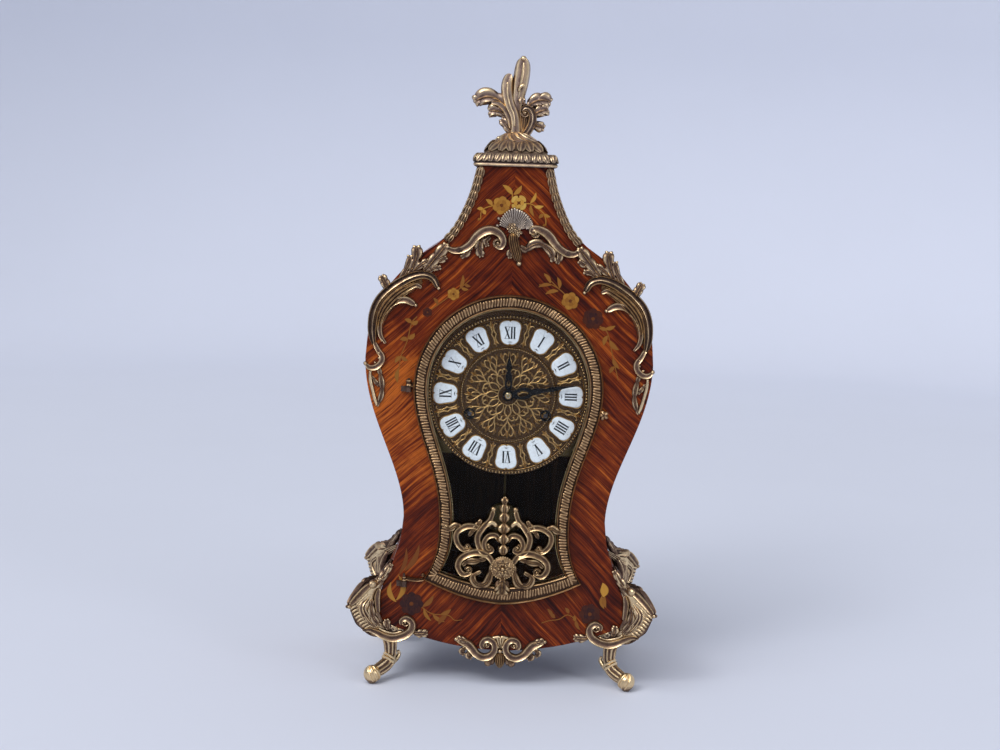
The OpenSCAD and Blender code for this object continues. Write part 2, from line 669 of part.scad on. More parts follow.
module front_plate() color(clock_brass) difference() {
    facing(0, 0, gap_front_y) linear_extrude(plate_t) plate_outline();
    train_holes(gap_front_y + 1, plate_face_y - 1);
    rod(0, dial_z, gap_front_y + 1, plate_face_y - 1, centre_r + run);
    rod(going_at[0], going_at[1], gap_front_y + 1, plate_face_y - 1, winding_r + run);
    rod(strike_at[0], strike_at[1], gap_front_y + 1, plate_face_y - 1, winding_r + run);
    rod(minute_at[0], minute_at[1], gap_front_y + 1, plate_face_y - 1, stud_r);
    for (c = [going_at, strike_at])
        rod(click_at(c)[0], click_at(c)[1], gap_front_y + 1, plate_face_y - 1, click_r);
}
module back_plate() color(clock_brass) difference() {
    facing(0, 0, plate_back_y) linear_extrude(plate_t) plate_outline();
    train_holes(plate_back_y + 1, gap_back_y - 1);
    rod(0, dial_z, plate_back_y + 1, gap_back_y - 1, pivot_r + run);
    rod(going_at[0], going_at[1], plate_back_y + 1, gap_back_y - 1, winding_r - 0.6 + run);
    rod(strike_at[0], strike_at[1], plate_back_y + 1, gap_back_y - 1, strike_pipe_r + run);
    rod(hammer_at[0], hammer_at[1], plate_back_y + 1, gap_back_y - 1, stud_r);
    rod(0, suspension_z, plate_back_y + 1, gap_back_y - 1, 3);
}
strike_pipe_r = 4;
stud_r = 1.2;

module plate_pillars() color(clock_brass) for (p = pillar_places()) {
    rod(p[0], p[1], gap_back_y, gap_front_y, pillar_r);
    rod(p[0], p[1], plate_back_y, plate_face_y, pillar_pin_r);
    rod(p[0], p[1], plate_back_y + 1.6, plate_back_y, pillar_r - 0.6, 6);
}
// The feet reach from the front plate to the dial
function dial_foot_places() = [for (p = pillar_places()) [p[0] * 0.72, mix(p[1], dial_z, 0.2)]];
module dial_feet() color(clock_brass) {
    for (p = dial_foot_places())
        rod(p[0], p[1], plate_face_y, dial_back_y, 2.5);
}

// Going train
module drum(c, back) difference() {
    union() {
        rod(c[0], c[1], back, back - barrel_l, barrel_r, 72);
        rod(c[0], c[1], back + 1.2, back - barrel_l - 1.2, 6);
    }
    rod(c[0], c[1], back - 1.5, back - barrel_l + 1.5, barrel_r - 1.5, 72);
    rod(c[0], c[1], back + 9, back - barrel_l - 9, winding_r + run);
}
module going_barrel() color(clock_brass) {
    drum(going_at, barrel_back_y);
    difference() {
        facing(going_at[0], going_at[1], great_y)
            linear_extrude(great_y - barrel_back_y) gear_shape(GREAT_TEETH, great_m, 0.8, 1.3, 0.42);
        rod(going_at[0], going_at[1], great_y + 1, great_y - 9, winding_r + run);
    }
}
// A coiled strip between the arbor and the drum
module mainspring(c, back) {
    turns = 7;
    r0 = 9;
    r1 = barrel_r - 2.4;
    path = [for (i = [0:turns * 16]) let (a = i * 22.5, r = mix(r0, r1, i / (turns * 16)))
        [r * cos(a), r * sin(a), a]];
    facing(c[0], c[1], back - 3) linear_extrude(barrel_l - 6) polygon(concat(
        [for (q = path) [q[0], q[1]]],
        [for (q = reverse(path)) [q[0] + 0.8 * cos(q[2]), q[1] + 0.8 * sin(q[2])]]));
}
module going_mainspring() color(steel) mainspring(going_at, barrel_back_y);
module strike_mainspring() color(steel) mainspring(strike_at, strike_drum_y);

square_end_y = board_back_y - 1.5;
ratchet_r = 9;
RATCHET_TEETH = 24;
module ratchet(c, flip) facing(c[0], c[1], plate_face_y - shake) mirror([flip, 0, 0])
    linear_extrude(1.6) polygon([for (i = [0:RATCHET_TEETH - 1])
        let (a = i * 360 / RATCHET_TEETH) each [
            (ratchet_r - 1.4) * [sin(a), cos(a)], ratchet_r * [sin(a + 1), cos(a + 1)]]]);
module winding_arbor(c, flip, pivot) {
    rod(c[0], c[1], gap_back_y - shake, plate_face_y - shake - 0.01, winding_r);
    rod(c[0], c[1], plate_back_y, gap_back_y - shake - 0.01, pivot);
    ratchet(c, flip);
    facing(c[0], c[1], plate_face_y - shake - 1.59)
        translate([-square_w / 2, -square_w / 2, 0])
            cube([square_w, square_w, plate_face_y - shake - 1.59 - square_end_y]);
}
module going_winding_arbor() color(steel) winding_arbor(going_at, 0, winding_r - 0.6);
module strike_winding_arbor() color(steel) winding_arbor(strike_at, 1, winding_r);

// The click lies just clear of the ratchet's teeth
module click(c) {
    p = click_at(c);
    difference() {
        facing(0, 0, plate_face_y - shake) linear_extrude(1.6) difference() {
            hull() {
                translate(p) circle(r = 3, $fn = 32);
                translate([p[0] - sign(c[0]) * 8, p[1] + 6]) circle(r = 1.4, $fn = 32);
            }
            translate(c) circle(r = ratchet_r + 0.4, $fn = 60);
        }
        rod(p[0], p[1], plate_face_y, plate_face_y - 9, click_r + run);
    }
}
module going_click() color(steel) click(going_at);
module strike_click() color(steel) click(strike_at);

module centre_wheel() color(clock_brass) {
    rod(0, dial_z, gap_back_y - shake, gap_front_y + shake, centre_r + 0.8);
    rod(0, dial_z, plate_back_y, gap_back_y - shake - 0.01, pivot_r);
    rod(0, dial_z, gap_front_y + shake + 0.01, minute_hand_y + 1.2, centre_r);
    pinion(CENTRE_LEAVES, great_m, 0, dial_z, great_y + 0.4, leaf_l,
        mesh_turn(going_at, centre_at, GREAT_TEETH, CENTRE_LEAVES));
    crossed_wheel(CENTRE_TEETH, centre_m, 0, dial_z, centre_y, wheel_t, 6);
}
module third_wheel() color(clock_brass) {
    turn = mesh_turn(centre_at, third_at, CENTRE_TEETH, THIRD_LEAVES);
    arbor(third_at[0], third_at[1]);
    pinion(THIRD_LEAVES, centre_m, third_at[0], third_at[1], centre_y + 0.9, 3.4, turn);
    crossed_wheel(THIRD_TEETH, third_m, third_at[0], third_at[1], third_y, wheel_t, 5, 5, turn);
}
module escape_wheel() color(clock_brass) {
    turn = mesh_turn(third_at, escape_at, THIRD_TEETH, ESCAPE_LEAVES,
        mesh_turn(centre_at, third_at, CENTRE_TEETH, THIRD_LEAVES));
    arbor(escape_at[0], escape_at[1]);
    pinion(ESCAPE_LEAVES, third_m, escape_at[0], escape_at[1], third_y + 1, leaf_l, turn);
    facing(escape_at[0], escape_at[1], escape_y) linear_extrude(wheel_t) difference() {
        polygon([for (i = [0:ESCAPE_TEETH - 1]) let (a = i * 360 / ESCAPE_TEETH) each [
            (escape_r - 3) * [sin(a), cos(a)], escape_r * [sin(a + 3), cos(a + 3)],
            escape_r * [sin(a + 4.5), cos(a + 4.5)], (escape_r - 3) * [sin(a + 7), cos(a + 7)]]]);
        for (k = [0:3]) rotate(90 * k + 45) translate([0, 5.6]) circle(r = 2, $fn = 24);
    }
}
// Pallets stand outside the circle of the escape wheel's teeth through their whole swing
pallet_gap = 2;
module pallet_anchor() color(steel) {
    arbor_span = suspension_z - escape_at[1];
    rod(0, suspension_z, gap_back_y + 0.8, gap_front_y + shake, arbor_r);
    rod(0, suspension_z, cock_y, plate_face_y, pivot_r);
    facing(0, 0, escape_y) linear_extrude(wheel_t) difference() {
        translate([0, suspension_z]) polygon([[-3, 2], [3, 2], [4, -2], [13.5, -arbor_span + 5],
            [12.5, -arbor_span + 1], [10, -arbor_span + 4], [0, -7], [-10, -arbor_span + 4],
            [-12.5, -arbor_span + 1], [-13.5, -arbor_span + 5], [-4, -2]]);
        translate(escape_at) circle(r = escape_r + pallet_gap, $fn = 60);
    }
}
cock_y = plate_back_y + 8.6;
crutch_l = 60;
module crutch() color(steel) {
    difference() {
        rod(0, suspension_z, plate_back_y + 6, plate_back_y + 3, 3.2);
        rod(0, suspension_z, cock_y, plate_back_y, pivot_r);
    }
    translate([-1, plate_back_y + 3.2, suspension_z - crutch_l]) cube([2, 1.6, crutch_l - 3]);
    difference() {
        translate([-3.2, plate_back_y + 3.2, suspension_z - crutch_l - 4])
            cube([6.4, pendulum_y - plate_back_y + 1, 4.4]);
        translate([-rod_r - 0.4, pendulum_y - rod_r - 0.8, suspension_z - crutch_l - 5])
            cube([2 * rod_r + 0.8, 12, 7]);
    }
}

// Motion work
motion_y = plate_face_y - 1.2;
hour_y = motion_y - 3.4;
module cannon_pinion() color(steel) difference() {
    union() {
        pinion(CANNON_TEETH, motion_m, 0, dial_z, motion_y, 2.4);
        rod(0, dial_z, motion_y, minute_hand_y - hand_t - 1.8, cannon_r - 0.4);
        rod(0, dial_z, motion_y, minute_hand_y, cannon_r);
    }
    rod(0, dial_z, motion_y + 1, minute_hand_y - 9, centre_r + run);
}
module minute_wheel() color(clock_brass) {
    turn = mesh_turn(centre_at, minute_at, CANNON_TEETH, MINUTE_TEETH);
    difference() {
        union() {
            crossed_wheel(MINUTE_TEETH, motion_m, minute_at[0], minute_at[1], motion_y, 1.6, 4.4, 4, turn);
            pinion(MINUTE_LEAVES, hour_m, minute_at[0], minute_at[1], motion_y - 1.59, 4.2, turn);
        }
        rod(minute_at[0], minute_at[1], motion_y + 1, dial_back_y - 3, stud_r + run);
    }
}
module hour_wheel() color(clock_brass) difference() {
    union() {
        facing(0, dial_z, hour_y) rotate(mesh_turn(minute_at, centre_at, MINUTE_LEAVES, HOUR_TEETH,
            mesh_turn(centre_at, minute_at, CANNON_TEETH, MINUTE_TEETH)))
            linear_extrude(1.6) gear_shape(HOUR_TEETH, hour_m, 0.8, 1.3, 0.42);
        rod(0, dial_z, hour_y, hour_hand_y - hand_t, hour_pipe_r - 0.4);
        rod(0, dial_z, hour_y, hour_hand_y, hour_pipe_r);
    }
    rod(0, dial_z, hour_y + 1, hour_hand_y - 9, cannon_r + run);
}

// Striking train
strike_drum_y = gap_back_y - 8;
strike_great_y = strike_drum_y - barrel_l + 0.01;
module strike_barrel() color(clock_brass) difference() {
    union() {
        drum(strike_at, strike_drum_y);
        facing(strike_at[0], strike_at[1], strike_great_y)
            linear_extrude(2) gear_shape(STRIKE_TEETH, strike_m, 0.8, 1.3, 0.42);
        rod(strike_at[0], strike_at[1], plate_back_y + 3.4, strike_drum_y, strike_pipe_r);
    }
    rod(strike_at[0], strike_at[1], plate_back_y + 9, gap_front_y - 9, winding_r + run);
}
module pin_wheel() color(clock_brass) {
    turn = mesh_turn(strike_at, pin_at, STRIKE_TEETH, PIN_LEAVES);
    arbor(pin_at[0], pin_at[1]);
    pinion(PIN_LEAVES, strike_m, pin_at[0], pin_at[1], strike_great_y + 1, 4, turn);
    crossed_wheel(PIN_TEETH, pin_m, pin_at[0], pin_at[1], pin_y, wheel_t, 5, 5, turn, 4.5);
    for (k = [0:9]) let (p = polar(pin_at, 14.2, 36 * k))
        rod(p[0], p[1], pin_y - wheel_t + 0.01, pin_y - wheel_t - 1.8, 0.8, 16);
}
module warning_wheel() color(clock_brass) {
    turn = mesh_turn(pin_at, warning_at, PIN_TEETH, WARNING_LEAVES,
        mesh_turn(strike_at, pin_at, STRIKE_TEETH, PIN_LEAVES));
    arbor(warning_at[0], warning_at[1]);
    pinion(WARNING_LEAVES, pin_m, warning_at[0], warning_at[1], pin_y + 1.2, 3.6, turn);
    crossed_wheel(WARNING_TEETH, warning_m, warning_at[0], warning_at[1], warning_y, wheel_t, 4, 4, turn);
}
module fly() color(clock_brass) {
    turn = mesh_turn(warning_at, fly_at, WARNING_TEETH, FLY_LEAVES,
        mesh_turn(pin_at, warning_at, PIN_TEETH, WARNING_LEAVES,
            mesh_turn(strike_at, pin_at, STRIKE_TEETH, PIN_LEAVES)));
    arbor(fly_at[0], fly_at[1]);
    pinion(FLY_LEAVES, warning_m, fly_at[0], fly_at[1], warning_y + 1.2, 3.6, turn);
    translate([fly_at[0] - 10, gap_back_y - 26, fly_at[1] - 0.4]) cube([20, 18, 0.8]);
    rod(fly_at[0], fly_at[1], gap_back_y - 8, gap_back_y - 26, 2);
}
count_r = 20;
module count_wheel() color(clock_brass) facing(strike_at[0], strike_at[1], plate_back_y + 2.8)
    linear_extrude(1.4) difference() {
        circle(r = count_r, $fn = 90);
        for (i = [0:11]) rotate(-3 * i * (i + 3)) translate([-0.8, count_r - 2.5]) square([1.6, 4]);
        circle(r = strike_pipe_r, $fn = 40);
    }
module strike_lever() color(steel) {
    arbor(lever_at[0], lever_at[1]);
    rod(lever_at[0], lever_at[1], plate_back_y + 3, plate_back_y - 0.01, pivot_r);
    facing(0, 0, plate_back_y + 2.8) linear_extrude(1.4) difference() {
        hull() {
            translate(lever_at) circle(r = 2.4, $fn = 24);
            translate([strike_at[0] - count_r - 1.4, strike_at[1] - 6]) circle(r = 1, $fn = 24);
        }
        translate(strike_at) circle(r = count_r + 0.5, $fn = 90);
    }
}

// Hammer and bell
bell_at = [-46, dial_z + 77];
bell_rim_y = plate_back_y + 12;
bell_depth = 20;
head_at = [bell_at[0] + bell_r + 4.4, bell_at[1] - 4];
hammer_y = plate_back_y + 16;
module hammer() color(steel) difference() {
    union() {
        rod(hammer_at[0], hammer_at[1], hammer_y + 1, hammer_y - 3.6, 3.4);
        facing(0, 0, hammer_y) linear_extrude(2) hull() {
            translate(hammer_at) circle(r = 2, $fn = 24);
            translate(head_at) circle(r = 1.2, $fn = 24);
        }
        translate([head_at[0], hammer_y - 1, head_at[1]]) rotate([0, 90, 0])
            cylinder(h = 7, r = 2.6, center = true, $fn = 32);
    }
    rod(hammer_at[0], hammer_at[1], hammer_y + 3, hammer_y - 6, stud_r + run);
}
module bell() color(clock_brass) facing(bell_at[0], bell_at[1], bell_rim_y + bell_depth)
    rotate_extrude($fn = 72) difference() {
        polygon(bell_half(0));
        translate([-0.01, 0]) polygon(bell_half(bell_t));
        square([2.1, bell_depth]);
    }
function bell_half(inset) = concat([[0, inset], [0, bell_depth + (inset > 0 ? 1 : 0)]],
    [for (t = reverse(steps(10))) [(bell_r - inset) * pow(sin(90 * t), 0.8),
        inset + (bell_depth - inset + (inset > 0 ? 1 : 0)) * (1 - pow(cos(90 * t), 0.9))]]);
module bell_post() color(steel) {
    rod(bell_at[0], bell_at[1], bell_rim_y + bell_depth + 1.5, plate_back_y, 2);
    rod(bell_at[0], bell_at[1], bell_rim_y + bell_depth + 2.4, bell_rim_y + bell_depth, 3.6, 6);
    translate([bell_at[0] - 4, plate_back_y, plate_high - 12])
        cube([8, 2, bell_at[1] + 4 - plate_high + 12]);
}

// Pendulum
bob_at = suspension_z - pendulum_l;
module suspension() color(clock_brass) difference() {
    union() {
        translate([-9, plate_back_y, suspension_z + 5]) cube([18, 1.6, 9]);
        translate([-5, plate_back_y, suspension_z + 7]) cube([10, pendulum_y - plate_back_y + 2.4, 5]);
        translate([-4, cock_y - 1.6, suspension_z - 4]) cube([8, 1.6, 15]);
        translate([-3, pendulum_y - 0.1, suspension_z + 0.5]) cube([6, 0.2, 6.51]);
    }
    rod(0, suspension_z, cock_y + 1, plate_back_y, pivot_r + run);
}
hook_z = suspension_z - 2;
module pendulum_rod() color(clock_brass) {
    translate([-3, pendulum_y - 1.2, hook_z - 4]) cube([6, 2.4, 4.6]);
    translate([0, pendulum_y, bob_at - bob_r - 7])
        cylinder(h = hook_z - bob_at + bob_r + 4, r = rod_r, $fn = 24);
}
// Half of the bob's profile from its back to its middle, as shares of its radius and thickness
BOB_HALF = [[0, 0], [0.7, 0], [0.9, 0.12], [1, 0.3]];
module pendulum_bob() color(clock_brass) difference() {
    facing(0, bob_at, pendulum_y + bob_t / 2) rotate_extrude($fn = 64) polygon(concat(
        [for (q = BOB_HALF) [q[0] * bob_r, q[1] * bob_t]],
        [for (q = reverse(BOB_HALF)) [q[0] * bob_r, (1 - q[1]) * bob_t]]));
    translate([0, pendulum_y, bob_at - bob_r - 1]) cylinder(h = 2 * bob_r + 2, r = rod_r, $fn = 24);
}
module rating_nut() color(clock_brass) difference() {
    translate([0, pendulum_y, bob_at - bob_r - 3.6]) cylinder(h = 3.4, r = 4, $fn = 32);
    translate([0, pendulum_y, bob_at - bob_r - 4]) cylinder(h = 5, r = rod_r, $fn = 24);
}

// Cast mounts
FINIAL_STROKES = [
    [[0, 4, 6, 0], [1, 12, 7, 0], [0, 26, 6, 0], [-1, 42, 5, 0], [-1, 58, 4, 0], [1, 70, 3, 0],
        [3, 80, 0.8, 0]],
    [[-4, 10, 5, 0], [-3, 22, 5, 0], [-7, 34, 4.5, 0], [-12, 42, 4, 0], [-11, 54, 3, 0], [-7, 61, 1, 0]],
    [[-5, 20, 4, 0], [-12, 28, 4.5, 0], [-20, 36, 4, 0], [-30, 39, 3, 0], [-37, 34, 1, 0]],
    [[-6, 12, 4, 0], [-11, 20, 4, 0], [-17, 26, 3, 0], [-24, 25, 1, 0]],
    [[1, 4, 4, 1], [10, 8, 4.5, 2], [15, 18, 4.5, 3], [13, 28, 4, 3], [6, 31, 3.2, 3], [4, 25, 2.4, 3],
        [8, 24, 1.6, 3]],
    [[11, 30, 3.5, 0], [16, 37, 3.5, 0], [22, 41, 2.6, 0], [27, 38, 1, 0]],
    [[14, 24, 3, 0], [20, 29, 3, 0], [27, 30, 1, 0]],
    [[14, 15, 3, 0], [19, 16, 2.6, 0], [24, 13, 1, 0]]
];
FINIAL_DRAWN_H = 80;
module finial() color(bronze) casting() {
    intersection() {
        for (s = FINIAL_STROKES)
            stroke([for (q = s) [q[0], cap_z + q[1] * finial_h / FINIAL_DRAWN_H, q[2], q[3]]],
                y = 0, thick = 1);
        translate([-reach / 2, -reach / 2, cap_z]) cube([reach, reach, reach]);
    }
    hull() {
        translate([0, 0, cap_z]) scale([1, 0.8, 1]) cylinder(h = 2, r = 17, $fn = 20);
        translate([0, 0, cap_z + 7]) scale([1, 0.8, 1]) cylinder(h = 3, r = 8, $fn = 20);
    }
}

module slab(z, h, grow) translate([-neck_w / 2 - grow, front_y - grow, z])
    cube([neck_w + 2 * grow, case_depth + 2 * grow, h]);
module cap_moulding() color(bronze) {
    slab(neck_z, cap_h * 0.2, cap_lip - 1.5);
    slab(neck_z + cap_h * 0.2 - 0.01, cap_h * 0.36, cap_lip);
    slab(neck_z + cap_h * 0.56 - 0.02, cap_h * 0.1, cap_lip - 2);
    hull() {
        slab(neck_z + cap_h * 0.66 - 0.03, 1, cap_lip - 4);
        translate([-19, -22, cap_z - 1]) cube([38, 44, 1]);
    }
}

// Chains of husks down the edges of the neck
neck_low_z = shoulder_z + 0.66 * neck_h;
module neck_mounts() color(bronze) cast_on_front() both_sides() {
    stroke([for (t = steps(5)) let (z = mix(neck_z - 1, neck_low_z, t)) [case_x(z) - 3.4, z, 2.2, 0.5]]);
    for (t = steps(6)) let (z = mix(neck_z - 6, neck_low_z + 3, t))
        bead(case_x(z) - 3.4, z, 4.2, front_y, 4);
}

crest_z = shoulder_z + 0.65 * neck_h;
CREST_STROKES = [
    [[0, 23, 3, 2], [1, 12, 6, 3], [2, 2, 5, 2]],
    [[-6, 22, 2, 2], [-9, 13, 4.4, 3], [-6, 2, 4, 2]],
    [[7, 20, 2, 2], [12, 13, 4.8, 3], [9, 3, 4, 2]],
    [[-14, -2, 2.6, 2], [-8, -5, 2.8, 2], [-7, 3, 3.4, 2], [-15, 6, 4, 2], [-25, 5, 4.2, 1],
        [-33, -3, 4.4, 1], [-39, -11, 4.2, 1], [-47, -13, 3.6, 1], [-54, -10, 2.4, 1]],
    [[13, 6, 3.4, 2], [25, 6, 4.2, 1], [35, 0, 4.4, 1], [41, -9, 4.2, 1], [47, -15, 3.8, 1],
        [54, -15, 2.8, 1], [57, -10, 1.6, 1]],
    [[2, -12, 2.4, 1], [15, -9, 3, 1], [24, -7, 3, 1], [32, -10, 3, 1], [37, -19, 1.6, 1]],
    [[0, 4, 4, 2], [-1, -6, 4.4, 2], [1, -17, 3.4, 1], [4, -24, 1.4, 1]],
    [[-26, 2, 2.4, 1], [-30, -11, 3, 1], [-28, -20, 1.2, 1]]
];
module crest_mount() color(bronze) cast_on_front()
    for (s = CREST_STROKES) stroke([for (q = s) [q[0], crest_z + q[1], q[2], q[3]]]);

// The shoulder strokes are measured from the case's widest point
SHOULDER_STROKES = [
    [[-64, 95, 2.4], [-50, 85, 3.6], [-22, 63, 4.2], [-6, 43, 4.2], [-3, 28, 3.8], [-8, 15, 3.4],
        [-13, 4, 3.2], [-12, -6, 3], [-5, -12, 2.6], [0, -8, 1.8]],
    [[-64, 66, 2], [-50, 76, 3.2], [-38, 73, 4], [-27, 65, 4.6], [-17, 55, 5], [-11, 42, 4.6], [-11, 28, 3.6],
        [-14, 12, 2.4]],
    [[-45, 50, 2], [-36, 54, 2.8], [-26, 50, 3.2], [-18, 40, 3.2], [-15, 26, 3], [-18, 13, 2]],
    [[-36, 81, 3], [-41, 89, 3], [-45, 99, 1]],
    [[-32, 78, 2.6], [-37, 85, 2.6], [-38, 92, 1]],
    [[-22, 66, 2.6], [-18, 71, 2.4], [-14, 76, 1]],
    [[-39, 77, 2.6], [-48, 84, 2.8], [-56, 88, 1.2]],
    [[-48, 64, 1.8], [-42, 67, 2.6], [-35, 62, 2.6], [-30, 55, 1.4]],
    [[-6, -12, 2.2], [-11, -20, 3.2], [-15, -30, 2.8], [-9, -42, 0.9]],
    [[-5, -13, 2], [-5, -24, 2.6], [-8, -36, 2], [-9, -42, 0.9]]
];
module shoulder_mounts() color(bronze) cast_on_front() both_sides()
    for (s = SHOULDER_STROKES)
        stroke([for (q = s) [shoulder_w / 2 + q[0], shoulder_z + q[1], q[2], len(q) > 3 ? q[3] : 1]]);

// A foot: its leg runs down the diagonal of the corner, and its scrolls lie on both faces.
// LEG rows are [distance out of the corner, height, half width, half thickness].
FOOT_DRAWN_H = 61;
LEG = [[-6, 100, 3, 3], [2, 92, 6, 5], [15, 82, 9, 6], [knee_out - 4, 74, 9, 6], [14, 63, 10, 7],
    [2, 53, 9, 7], [-8, 42, 7, 6], [-11, 32, 5.5, 5.5], [-9, 22, 5.5, 5.5], [-3, 13, 6, 6], [2, 8, 6.5, 6.5],
    [6, 7.5, 4, 5]];
FOOT_SCROLLS = [
    [[-5, 92, 2], [-7, 80, 4.4], [-4, 65, 4.6], [4, 54, 4.4], [16, 46, 4.4], [30, 44, 4], [44, 47, 2]],
    [[28, 50, 2.6], [24, 56, 2.8], [30, 61, 2.8], [35, 55, 2]],
    [[15, 112, 1], [10, 105, 3.4], [4, 96, 4.4], [-2, 86, 4]],
    [[-3, 75, 3], [3, 66, 3.4], [10, 58, 2]]
];
toe_h = 10;
fit_gap = 0.05;
function foot_lift(z) = z > 50 ? z + foot_h - FOOT_DRAWN_H : z * foot_h / FOOT_DRAWN_H;
module foot_scrolls(on_face) for (s = FOOT_SCROLLS) {
    z = [for (q = s) foot_lift(q[1])];
    w = [for (q = s) q[2]];
    h = [for (q = s) max(1.2, 0.75 * q[2])];
    if (on_face)
        sweep([for (i = [0:len(s) - 1]) [base_w / 2 - s[i][0], front_y - 1, z[i]]], w, h, [0, -1, 0]);
    sweep([for (i = [0:len(s) - 1]) [case_x(max(z[i], corner_z)) + 1, front_y + s[i][0], z[i]]],
        w, h, [1, 0, 0], 4);
}
// The corner of the case that a foot wraps
module case_corner() {
    side = [for (p = case_half()) if (p[1] < corner_z + waist_h) [p[0] + fit_gap, p[1]]];
    facing() linear_extrude(-front_y) polygon(concat(side, [[0, waist_z], [0, corner_z]]));
    facing(0, 0, board_back_y) linear_extrude(front_t)
        polygon(concat(apron_half(), [[base_w / 2 + fit_gap, corner_z], [0, corner_z + 1]]));
}
// The rear feet have no scrolls on the back
module one_foot(on_face) difference() {
    union() {
        sweep([for (q = LEG) [base_w / 2 + q[0], front_y - q[0], foot_lift(q[1])]],
            [for (q = LEG) q[2]], [for (q = LEG) q[3]], unit([1, -1, 0.3]), 8);
        foot_scrolls(on_face);
        translate([base_w / 2 + 3, front_y - 3, 0]) cylinder(h = toe_h, r = toe_r, $fn = 16);
    }
    case_corner();
}
module corner_feet() color(bronze) casting() both_sides() {
    one_foot(true);
    mirror([0, 1, 0]) one_foot(false);
}

APRON_STROKES = [
    [[40, 9, 1.6], [34, 4, 3], [26, -2, 3.4], [17, -6, 3.2], [9, -4, 3], [6, 3, 2.8], [9, 9, 2.6],
        [15, 9, 2.2],
        [16, 4, 1.6], [12, 3, 1.2]],
    [[34, -2, 1], [28, -7, 2], [20, -6, 2.4]]
];
apron_z = corner_z - 26;
APRON_SHELL = [[1, 13, 3], [1, 5, 5], [1, -4, 4.4], [1, -10, 3], [1, -16, 1]];
module apron_mount() color(bronze) cast_on_front() {
    both_sides() for (s = APRON_STROKES) stroke([for (q = s) [q[0], apron_z + q[1], q[2], 1]]);
    stroke([for (q = APRON_SHELL) [0, apron_z + q[1], q[2], 2]]);
}

// Fasteners
module screws_and_studs() color(clock_brass) {
    for (p = dial_screw_places()) {
        rod(p[0], p[1], dial_back_y, board_back_y - 4, screw_r);
        rod(p[0], p[1], dial_back_y + 1.2, dial_back_y, 2.4);
    }
    rod(button_x, button_z, back_y + 5, back_y, button_stud_r);
    rod(button_x, button_z, back_y + 5.4, back_y + 3.7, 3);
    rod(minute_at[0], minute_at[1], gap_front_y, dial_back_y + shake, stud_r);
    rod(hammer_at[0], hammer_at[1], hammer_y + 2, gap_back_y, stud_r);
    for (c = [going_at, strike_at]) let (p = click_at(c)) {
        rod(p[0], p[1], gap_front_y, plate_face_y - shake - 2.2, click_r);
        rod(p[0], p[1], plate_face_y - shake - 1.9, plate_face_y - shake - 3, 2.4);
    }
}

case_sides();
front_board();
back_board();
top_board();
base_board();
back_door();
back_hinge_pins();
back_hinge_leaves();
turn_button();
door_bezel();
door_glass();
glass_retainer();
door_fret();
door_hinge_lugs();
dial_plate();
numeral_plaques();
winding_eyelets();
hour_hand();
minute_hand();
hand_nut();
front_plate();
back_plate();
plate_pillars();
dial_feet();
going_barrel();
going_mainspring();
going_winding_arbor();
going_click();
centre_wheel();
third_wheel();
escape_wheel();
pallet_anchor();
crutch();
cannon_pinion();
minute_wheel();
hour_wheel();
strike_barrel();
strike_mainspring();
strike_winding_arbor();
strike_click();
pin_wheel();
warning_wheel();
fly();
count_wheel();
strike_lever();
hammer();
bell();
bell_post();
suspension();
pendulum_rod();
pendulum_bob();
rating_nut();
finial();
cap_moulding();
neck_mounts();
crest_mount();
shoulder_mounts();
corner_feet();
apron_mount();
screws_and_studs();
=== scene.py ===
"""Cartel clock: the dressed model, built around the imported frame.

Sizes are in millimetres in this script and become metres where a mesh is made. +Z is up and the
dial faces -Y, as in the frame.
"""
import logging
import math
from collections.abc import Callable, Sequence
from dataclasses import dataclass, field
from enum import Enum

import bmesh
import bpy
import numpy as np
from mathutils import Matrix, Vector


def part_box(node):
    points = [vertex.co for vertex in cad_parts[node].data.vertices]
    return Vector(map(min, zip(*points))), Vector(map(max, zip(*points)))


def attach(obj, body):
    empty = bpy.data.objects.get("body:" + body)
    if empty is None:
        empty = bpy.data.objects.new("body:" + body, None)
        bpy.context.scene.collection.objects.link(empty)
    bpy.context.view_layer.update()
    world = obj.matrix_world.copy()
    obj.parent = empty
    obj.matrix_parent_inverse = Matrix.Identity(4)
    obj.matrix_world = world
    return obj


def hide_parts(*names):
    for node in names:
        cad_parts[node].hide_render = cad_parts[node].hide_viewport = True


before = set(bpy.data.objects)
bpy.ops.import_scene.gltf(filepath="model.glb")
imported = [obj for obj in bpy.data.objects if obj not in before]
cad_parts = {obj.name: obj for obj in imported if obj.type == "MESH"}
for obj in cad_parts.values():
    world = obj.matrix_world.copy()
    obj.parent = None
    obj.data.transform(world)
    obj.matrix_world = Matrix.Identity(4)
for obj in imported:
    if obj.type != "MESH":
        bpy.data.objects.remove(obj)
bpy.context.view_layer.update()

MM = 0.001
LOG = logging.getLogger("clock")

Row = tuple[float, ...]
Rows = Sequence[Row]
Colour = tuple[float, float, float]
Array = np.ndarray
Place = Callable[[Array, Array, Array], Array]
Section = tuple[Array, float, float]
Object = bpy.types.Object
Socket = bpy.types.NodeSocket


class Axis(Enum):
    """The three directions, as places in a point."""

    X = 0
    Y = 1
    Z = 2


class Body(Enum):
    """The bodies that carry new pieces."""

    CASE = "case"
    FRONT_DOOR = "front_door"


class Slot(Enum):
    """Names of material slots, given with new pieces."""

    VENEER = "veneer"
    BRONZE = "antique_bronze"
    DIAL = "dial_brass"
    ENAMEL = "enamel"


def low(node: str, axis: Axis) -> float:
    """Lowest coordinate of a frame node along an axis, in millimetres."""
    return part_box(node)[0][axis.value] / MM


def high(node: str, axis: Axis) -> float:
    """Highest coordinate of a frame node along an axis, in millimetres."""
    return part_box(node)[1][axis.value] / MM


